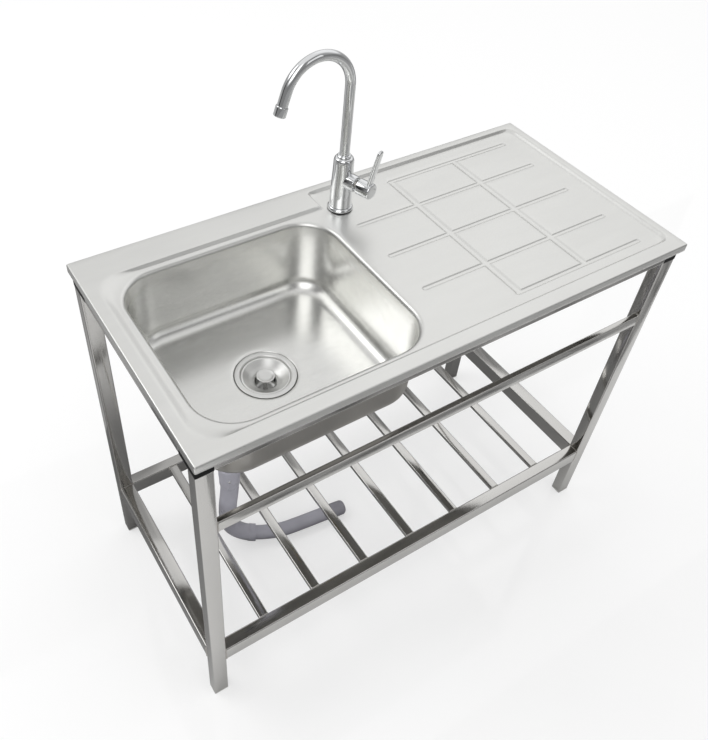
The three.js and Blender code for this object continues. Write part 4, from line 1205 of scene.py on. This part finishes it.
def hose_sleeve(material, run):
    start, end, bore, radius = CLEARANCE, CLEARANCE + SLEEVE_LENGTH, SLEEVE_BORE, SLEEVE_RADIUS
    sleeve = ring_part([
        (bore, start, 0), (radius - 1.5, start, 0.6), (radius, start + 2, 1), (radius, end - 6, 1.5),
        (radius - 2.5, end - 1.5, 1), (radius - 5, end, 0.6), (bore, end, 0)], 48)
    grips = []
    for i in range(4):
        at = start + 5 + 3.5 * i
        grips.append(revolve([(radius - 0.4, at), (radius + 0.2, at + 0.4), (radius + 0.2, at + 1.2),
                              (radius - 0.4, at + 1.6)], 48, loop=True))
    placed = pointing(merged(sleeve, *grips), (run[-1] - run[-2]).normalized(), run[-1])
    return make_object("hose_sleeve_ribbed", placed, material, "hose_end_sleeve")


def hose_nut(material):
    low, high = node_box("hose_nut")
    bottom, top = low.z - SEAT_LEVEL, high.z - SEAT_LEVEL
    outer, neck = (high.x - low.x) / 2, DROP_RADIUS + 2 * CLEARANCE
    nut = ring_part([(neck, bottom, 0), (outer - 2, bottom, 1), (outer, bottom + 2, 1), (outer, top - 1, 0.8),
                     (outer - 1, top, 0.4), (neck, top, 0)], 48)
    ribs = [turned_box(outer - 0.5, outer - 0.1, 2.2, bottom + 4, top - 2, 15 * i) for i in range(24)]
    at_drain("hose_nut_ribbed", merged(nut, *ribs), material, "hose_nut")


# --- tap

def on_tap(part, heading=0.0):
    return turned_and_moved(part, heading, TAP_X, TAP_Y, DECK)


def along_arm(part):
    """A part turned round Z, laid along the handle's arm."""
    lay = Matrix.Translation((0, 0, ARM_HEIGHT)) @ Matrix.Rotation(math.radians(90), 4, "Y")
    return on_tap(moved(part, lay), ARM_HEADING)


def boolean(obj, part, operation):
    """Joins a closed part to a piece or cuts it away, and keeps only the result."""
    other = plain_object("tool", part)
    outward(other)
    cut = obj.modifiers.new("cut", "BOOLEAN")
    cut.operation = operation
    cut.solver = "EXACT"
    cut.object = other
    bpy.context.view_layer.update()
    result = bpy.data.meshes.new_from_object(obj.evaluated_get(bpy.context.evaluated_depsgraph_get()))
    obj.modifiers.remove(cut)
    old = obj.data
    obj.data = result
    bpy.data.meshes.remove(old)
    bpy.data.objects.remove(other)


def tap_piece(name, part, material, node, body=STATIC):
    return make_object(name, part, material, node, body)


def tap_body(material):
    bottom, top, low, high = BODY_BOTTOM, BODY_TOP, BODY_LOW_RADIUS, BODY_HIGH_RADIUS
    profile = rounded_profile([
        (0, bottom, 0), (low - 1, bottom, 0.5), (low, bottom + 1.5, 0.8), (low - 1, bottom + 36, 6),
        (high + 0.3, bottom + 78, 12), (high, top - 7, 2), (high - 1.3, top - 2.4, 2.0),
        (high - 4.3, top, 1.6), (0, top, 0)], 5)
    body = tap_piece("tap_body_turned", on_tap(revolve(profile, 96)), material, "tap_body")
    end, bore, fit = ARM_LENGTH, ARM_BORE, SOCKET_RADIUS
    arm = rounded_profile([(0, 0, 0), (ARM_RADIUS, 0, 0), (ARM_RADIUS, end - 1, 0.8),
                           (ARM_RADIUS - 1, end, 0.4), (0, end, 0)])
    boolean(body, along_arm(revolve(arm, 72)), "UNION")
    hollow = revolve([(0, 12), (bore, 12), (bore, end + 7), (0, end + 7)], 64)
    boolean(body, along_arm(hollow), "DIFFERENCE")
    low_end = top - SPOUT_SOCKET
    socket = revolve([(0, low_end), (fit, low_end), (fit, top + 5), (0, top + 5)], 64)
    boolean(body, on_tap(socket), "DIFFERENCE")
    shade(body)


def tap_rings(material):
    rim = BASE_RADIUS
    base = ring_part([(14.7, 2.1, 0), (rim - 0.2, 2.1, 0.4), (rim, 4.1, 0.8), (rim - 1.9, 7.2, 1.2),
                      (BODY_LOW_RADIUS - 0.5, 8.1, 0.6), (14.7, 8.1, 0)], 96)
    tap_piece("tap_base_turned", on_tap(base), material, "tap_base_ring")
    low, outer = BODY_TOP + CLEARANCE, COLLAR_RADIUS
    collar = ring_part([(PIPE_FIT, low, 0), (outer, low, 0.5), (outer, low + 2, 0.6),
                        (outer - 2, low + 4, 0.8), (PIPE_FIT, low + 4, 0)], 72)
    tap_piece("spout_collar_turned", on_tap(collar), material, "spout_collar", "spout")
    face = ARM_LENGTH + 0.5
    stop = ring_part([(8.3, face - 5, 0), (12.2, face - 5, 0), (12.2, face - 0.3, 0.4), (11, face, 0.4),
                      (8.3, face, 0)], 64)
    tap_piece("cartridge_ring_turned", along_arm(stop), material, "cartridge_ring")


def spout_path():
    """The pipe's middle line, from its socket over the bend to the tip, and the direction it ends in."""
    low = BODY_TOP - SPOUT_SOCKET + CLEARANCE
    straight = [Vector((0, 0, low + (SPOUT_RISE - low) * i / 14)) for i in range(14)]
    steps = 64
    bend = []
    for i in range(steps + 1):
        turn = math.radians(SPOUT_SWEEP * i / steps)
        bend.append(Vector((SPOUT_BEND * (1 - math.cos(turn)), 0, SPOUT_RISE + SPOUT_BEND * math.sin(turn))))
    sweep_angle = math.radians(SPOUT_SWEEP)
    ahead = Vector((math.sin(sweep_angle), 0, math.cos(sweep_angle)))
    tip = [bend[-1] + ahead * (SPOUT_TIP * i / 6) for i in range(1, 7)]
    return straight + bend + tip, ahead


def spout(material):
    path, ahead = spout_path()
    pipe = sweep(path, SPOUT_RADIUS, 48, SPOUT_RADIUS - SPOUT_WALL)
    tap_piece("spout_pipe_bent", on_tap(pipe, SPOUT_HEADING), material, "spout_pipe", "spout")
    rim = AERATOR_RADIUS
    shell = ring_part([
        (PIPE_FIT, -6, 0), (rim - 0.6, -6, 0.3), (rim, -5, 0.6), (rim, 10, 0.6), (rim - 0.7, 11, 0.4),
        (8.6, 11, 0.3), (8.3, 10.4, 0.2), (8.3, 0.3, 0), (PIPE_FIT, 0.3, 0)], 72)
    tap_piece("aerator_shell", on_tap(pointing(shell, ahead, path[-1]), SPOUT_HEADING), material,
              "aerator_housing", "spout")


def handle(material):
    start, end, rim = HUB_START, HUB_END, ARM_RADIUS
    shell = rounded_profile([
        (0, PIVOT - 2.5, 0), (13.5, PIVOT - 2.5, 0), (13.5, start + 0.4, 0.3), (rim - 0.7, start, 0.3),
        (rim, start + 0.8, 0.5), (rim, end - 2, 1.2), (rim - 1.4, end - 0.2, 0.8), (rim - 4, end, 0.5),
        (0, end + 0.1, 0)])
    hub = tap_piece("handle_hub_turned", along_arm(revolve(shell, 96)), material, "handle_hub", "handle")
    ball = revolve([(BALL_RADIUS * math.sin(a), PIVOT - BALL_RADIUS * math.cos(a))
                    for a in np.linspace(0, math.pi, 17)], 40)
    boolean(hub, along_arm(ball), "DIFFERENCE")
    shade(hub)


def lever(material):
    """A slim blade, thicker at its root, rounded along its edges and at its tip."""
    root, length, peg_low = ARM_RADIUS + 1, LEVER_LENGTH, 8.3
    root_half, tip_half = LEVER_ROOT_WIDTH / 2, LEVER_TIP_WIDTH / 2
    stations = []
    for t in np.linspace(0, 1, 40):
        at = length * t
        half = root_half + (tip_half - root_half) * t
        left = length - at
        if left < half:
            half = math.sqrt(max(half ** 2 - (half - left) ** 2, 0.01))
        thick = LEVER_THICKNESS - LEVER_TAPER * t
        if left <= 2:
            thick *= math.sqrt(max(left / 2, 0.02))
        stations.append((at, half, thick))
    points = []
    sides = 24
    for at, half, thick in stations:
        for k in range(sides):
            turn = 2 * math.pi * k / sides
            c, s = math.cos(turn), math.sin(turn)
            across = half * math.copysign(abs(c) ** 0.45, c)
            through = thick * math.copysign(abs(s) ** 0.7, s)
            points.append((through, across, root + at))
    blade = points, rings_to_faces(len(stations), sides)
    peg = revolve(rounded_profile([(0, peg_low, 0), (4, peg_low, 0), (4, root - 1.5, 1), (5.6, root + 1, 1.5),
                                   (0, root + 3, 0)]), 32)
    lean = Matrix.Translation((LEVER_FOOT, 0, ARM_HEIGHT)) @ Matrix.Rotation(math.radians(LEVER_LEAN), 4, "Y")
    blade, peg = (on_tap(moved(part, lean), ARM_HEADING) for part in (blade, peg))
    lever_piece = tap_piece("lever_blade_forged", blade, material, "lever_blade", "handle")
    boolean(lever_piece, peg, "UNION")
    shade(lever_piece, 50)


# --- floor, world and lamps

FLOOR_HALF = 9000.0
FLOOR_DROP = 0.2
FLOOR_PALENESS = 0.48
FLOOR_MIRROR = 0.035
# grey of the mirrored floor from front to back, a painted shadow dark under and behind the unit, over
# FLOOR_SPAN metres either way
FLOOR_SPAN = 2.0
FLOOR_TONES = ((0.0, 0.30), (0.25, 0.42), (0.32, 0.75), (0.42, 0.72), (0.47, 0.30), (0.60, 0.14),
               (0.75, 0.25), (1.0, 0.45))
# the mirrored room by heading, from -X round over -Y, +X and +Y back to -X
ROOM_TONES = ((0.0, 0.30), (0.05, 0.42), (0.085, 1.9), (0.172, 1.9), (0.20, 0.28), (0.32, 0.20),
              (0.42, 0.42), (0.50, 0.95), (0.57, 0.92), (0.63, 1.0), (0.70, 0.80), (0.78, 0.82),
              (0.86, 0.92), (0.925, 0.50), (0.94, 0.12), (0.972, 0.12), (0.985, 0.30), (1.0, 0.30))
# the same near the horizon
LOW_TONES = ((0.0, 0.22), (0.42, 0.20), (0.50, 0.34), (0.56, 0.36), (0.60, 0.60), (0.68, 0.60),
             (0.72, 0.36), (0.88, 0.34), (0.925, 0.28), (0.94, 0.02), (0.972, 0.02), (0.985, 0.22),
             (1.0, 0.22))
# sines of the elevations between which the horizon turns to wall, and wall to ceiling
HORIZON_TO_WALL = (0.19, 0.47)
WALL_TO_CEILING = (0.80, 0.97)
CEILING = (0.80, 0.80, 0.80, 1)
WHITE = (1, 1, 1, 1)
WORLD_LIGHT = 0.98


def tones(tree, factor, stops):
    """Greys along a factor, from a list of positions and values."""
    node = add_node(tree, "ValToRGB", {"Fac": factor})
    elements = node.color_ramp.elements
    while len(elements) < len(stops):
        elements.new(0.5)
    for element, (position, value) in zip(elements, stops):
        element.position = position
        element.color = (value, value, value, 1)
    return node.outputs["Color"]


def mixed_shaders(tree, share, first, second):
    return add_node(tree, "MixShader", {0: share, 1: first.outputs[0], 2: second.outputs[0]})


def white_floor(tree, lit):
    """What the camera sees of the floor: lit white, paled towards plain white, with a faint mirror image."""
    plain = add_node(tree, "Emission", {"Color": WHITE})
    mirror = add_node(tree, "BsdfGlossy", {"Roughness": 0.06})
    return mixed_shaders(tree, FLOOR_MIRROR, mixed_shaders(tree, FLOOR_PALENESS, lit, plain), mirror)


def floor_painted_shade(tree):
    """The studio floor's grey by place, painted shadow: dark under and behind the unit, pale in front of it.
    """
    split = add_node(tree, "SeparateXYZ", {0: own_place(tree)})
    ahead = add_node(tree, "MapRange", {"From Min": -FLOOR_SPAN, "From Max": FLOOR_SPAN,
                                        "Value": split.outputs["Y"]})
    return tones(tree, ahead.outputs[0], FLOOR_TONES)


def studio_floor():
    """A floor that is white to the camera and a shadowed studio grey to what the metal mirrors."""
    material, tree, white = new_material("floor", (0.97, 0.97, 0.97), 0.0, 0.5)
    set_inputs(tree, white, {"Specular IOR Level": 0.0})
    dim = add_node(tree, "BsdfDiffuse", {"Color": floor_painted_shade(tree)})
    path = add_node(tree, "LightPath")
    seen = mixed_shaders(tree, path.outputs["Is Camera Ray"], dim, white_floor(tree, white))
    set_inputs(tree, tree.nodes["Material Output"], {"Surface": seen.outputs[0]})
    size = FLOOR_HALF * MM
    floor = stage_quad("floor", [(-size, -size, 0), (size, -size, 0), (size, size, 0), (-size, size, 0)],
                       material)
    floor.location.z = -FLOOR_DROP * MM


def stage_quad(name, corners, material):
    mesh = bpy.data.meshes.new(name)
    mesh.from_pydata(corners, [], [(0, 1, 2, 3)])
    mesh.materials.append(material)
    quad = bpy.data.objects.new(name, mesh)
    bpy.context.scene.collection.objects.link(quad)
    return quad


def studio_world():
    """White to the camera, and a soft room with darker and brighter walls to what the metal reflects."""
    world = bpy.data.worlds.new("studio")
    bpy.context.scene.world = world
    world.use_nodes = True
    tree = world.node_tree
    plain = set_inputs(tree, tree.nodes["Background"], {"Color": WHITE, "Strength": WORLD_LIGHT})
    shown = add_node(tree, "Background", {"Color": WHITE})
    mirrored = add_node(tree, "Background", {"Color": room_colour(tree), "Strength": 1.0})
    path = add_node(tree, "LightPath")
    unseen = mixed_shaders(tree, path.outputs["Is Glossy Ray"], plain, mirrored)
    every = mixed_shaders(tree, path.outputs["Is Camera Ray"], unseen, shown)
    set_inputs(tree, tree.nodes["World Output"], {"Surface": every.outputs[0]})


def room_colour(tree):
    """Grey by direction: low walls are dim, and above them the light changes with the heading."""
    split = add_node(tree, "SeparateXYZ", {0: add_node(tree, "TexCoord").outputs["Generated"]})
    heading = add_node(tree, "Math", {0: split.outputs["Y"], 1: split.outputs["X"]})
    heading.operation = "ARCTAN2"
    spread = add_node(tree, "MapRange", {"From Min": -math.pi, "From Max": math.pi,
                                         "Value": heading.outputs[0]})
    walls, skirting = (tones(tree, spread.outputs[0], stops) for stops in (ROOM_TONES, LOW_TONES))
    above_horizon, above_wall = (smooth_range(tree, split.outputs["Z"], *band)
                                 for band in (HORIZON_TO_WALL, WALL_TO_CEILING))
    return mixed_colours(tree, above_wall, mixed_colours(tree, above_horizon, skirting, walls), CEILING)


def reflector(name, corners, tone):
    """A card that only the metal sees, with uneven stripes down its face."""
    material, tree, shader = new_material(name, (tone, tone, tone), 0.0, 0.9)
    tree.nodes.remove(shader)
    stripes = noise(tree, 5.0, (1.0, 1.0, 0.15), 3.0)
    glow = add_node(tree, "Emission", {"Color": ramp(tree, stripes, tone * 0.45, tone * 1.7)})
    set_inputs(tree, tree.nodes["Material Output"], {"Surface": glow.outputs[0]})
    card = stage_quad(name, corners, material)
    card.visible_camera = card.visible_diffuse = card.visible_shadow = False
    card.visible_transmission = card.visible_volume_scatter = False


def reflectors():
    """Two grey cards: one behind the unit for the shelf's slats, one on the floor for its front rails."""
    left, right, place, low, high = -1.4, 1.9, 0.50, 0.02, 0.92
    reflector("card_behind", [(left, place, low), (right, place, low), (right, place, high),
                              (left, place, high)], 0.32)
    left, right, front, back, level = -0.26, 2.0, -0.90, -0.53, 0.002
    reflector("card_before", [(left, front, level), (right, front, level), (right, back, level),
                              (left, back, level)], 0.24)


def lamp(name, place, target, size, watts):
    data = bpy.data.lights.new(name, "AREA")
    data.shape = "RECTANGLE"
    data.size, data.size_y = size
    data.energy = watts
    result = bpy.data.objects.new(name, data)
    result.location = place
    result.rotation_euler = (Vector(target) - Vector(place)).to_track_quat("-Z", "Y").to_euler()
    bpy.context.scene.collection.objects.link(result)
    return result


def lamps():
    """A soft key, half of it unseen by the metal so that edges are no white lines, and a weak fill."""
    lamp("key", (-2.2, 1.8, 3.2), (0, 0, 0.6), (2.0, 1.4), 14)
    lamp("key_soft", (-2.2, 1.8, 3.25), (0, 0, 0.6), (2.0, 1.4), 14).visible_glossy = False
    lamp("fill", (1.2, -2.6, 2.6), (0, 0, 0.5), (1.6, 1.6), 5)


# --- the scene

bpy.context.scene.view_settings.view_transform = "Standard"
add_camera()

# a paler and a darker copy of one hose plastic: painted light on the drop, painted shade on the run, which
# also darkens towards the floor
hose_plastic = plastic("hose_plastic", (0.47, 0.465, 0.525), 0.32, 0.9, 0.06, 500.0)
painted_shade_hose_plastic = hose_with_painted_shade("hose_plastic_run_painted_shade", (0.40, 0.395, 0.445), 4, 38, 0.45)
# painted shade: the fittings also darken towards the floor
fitting_plastic = hose_with_painted_shade("fitting_plastic", (0.29, 0.285, 0.32), 2, 34, 0.6)
frame_steel = [steel(f"frame_steel_{'xyz'[axis]}", (0.68, 0.67, 0.65), 0.12, axis) for axis in range(3)]
strainer_steel = steel("strainer_steel", (0.80, 0.80, 0.785), 0.40, 0, 0.04, 0.05)
# the sheet's hidden face: unpolished, with drawing marks from the press, and a much darker copy of the steel
# as painted shade
painted_shade_steel = steel("pressed_steel_under_painted_shade", (0.50, 0.485, 0.46), 0.36, 2, 0.25, 0.08, 0.8)
weld_steel = steel("weld_steel", (0.62, 0.60, 0.57), 0.35, 0, 0.2, 0.1, 0.8)
lock_plastic = plastic("lock_nut_plastic", (0.26, 0.26, 0.28), 0.5)
tap_chrome = chrome()

hose_with_fittings(hose_plastic, painted_shade_hose_plastic, fitting_plastic, tap_chrome)
sink_top(pressed_steel(), painted_shade_steel)
stand_tubes(frame_steel)
welds(weld_steel)
strainer(strainer_steel, lock_plastic)
basket_cup(strainer_steel)
basket_knob(strainer_steel)
tap_body(tap_chrome)
tap_rings(tap_chrome)
spout(tap_chrome)
handle(tap_chrome)
lever(tap_chrome)

rubber = plastic("seal_rubber", (0.025, 0.025, 0.026), 0.75, 0.7, 0.3, 900.0)
brass = steel("tap_brass", (0.66, 0.50, 0.24), 0.3, 2, 0.1, 0.08, 0.85)
foot_plastic = plastic("foot_plastic", (0.62, 0.62, 0.60), 0.55)
insert_plastic = plastic("tap_insert", (0.72, 0.71, 0.67), 0.45)
dress([n for n in nodes if n.startswith("corner_connector")], connector_black(), 0.8)
dress([n for n in nodes if n.startswith("foot_plug")], foot_plastic, 0.5)
dress(["strainer_gasket_upper", "strainer_gasket_lower", "basket_seal", "tap_base_seal", "tap_washer"],
      rubber, 0.2)
dress(["tap_shank", "tap_lock_nut"], brass, 0.3)
dress(["cartridge_stem"], weld_steel, 0.3)
dress(["mixer_cartridge", "aerator_insert"], insert_plastic, 0.2)

studio_floor()
studio_world()
reflectors()
lamps()
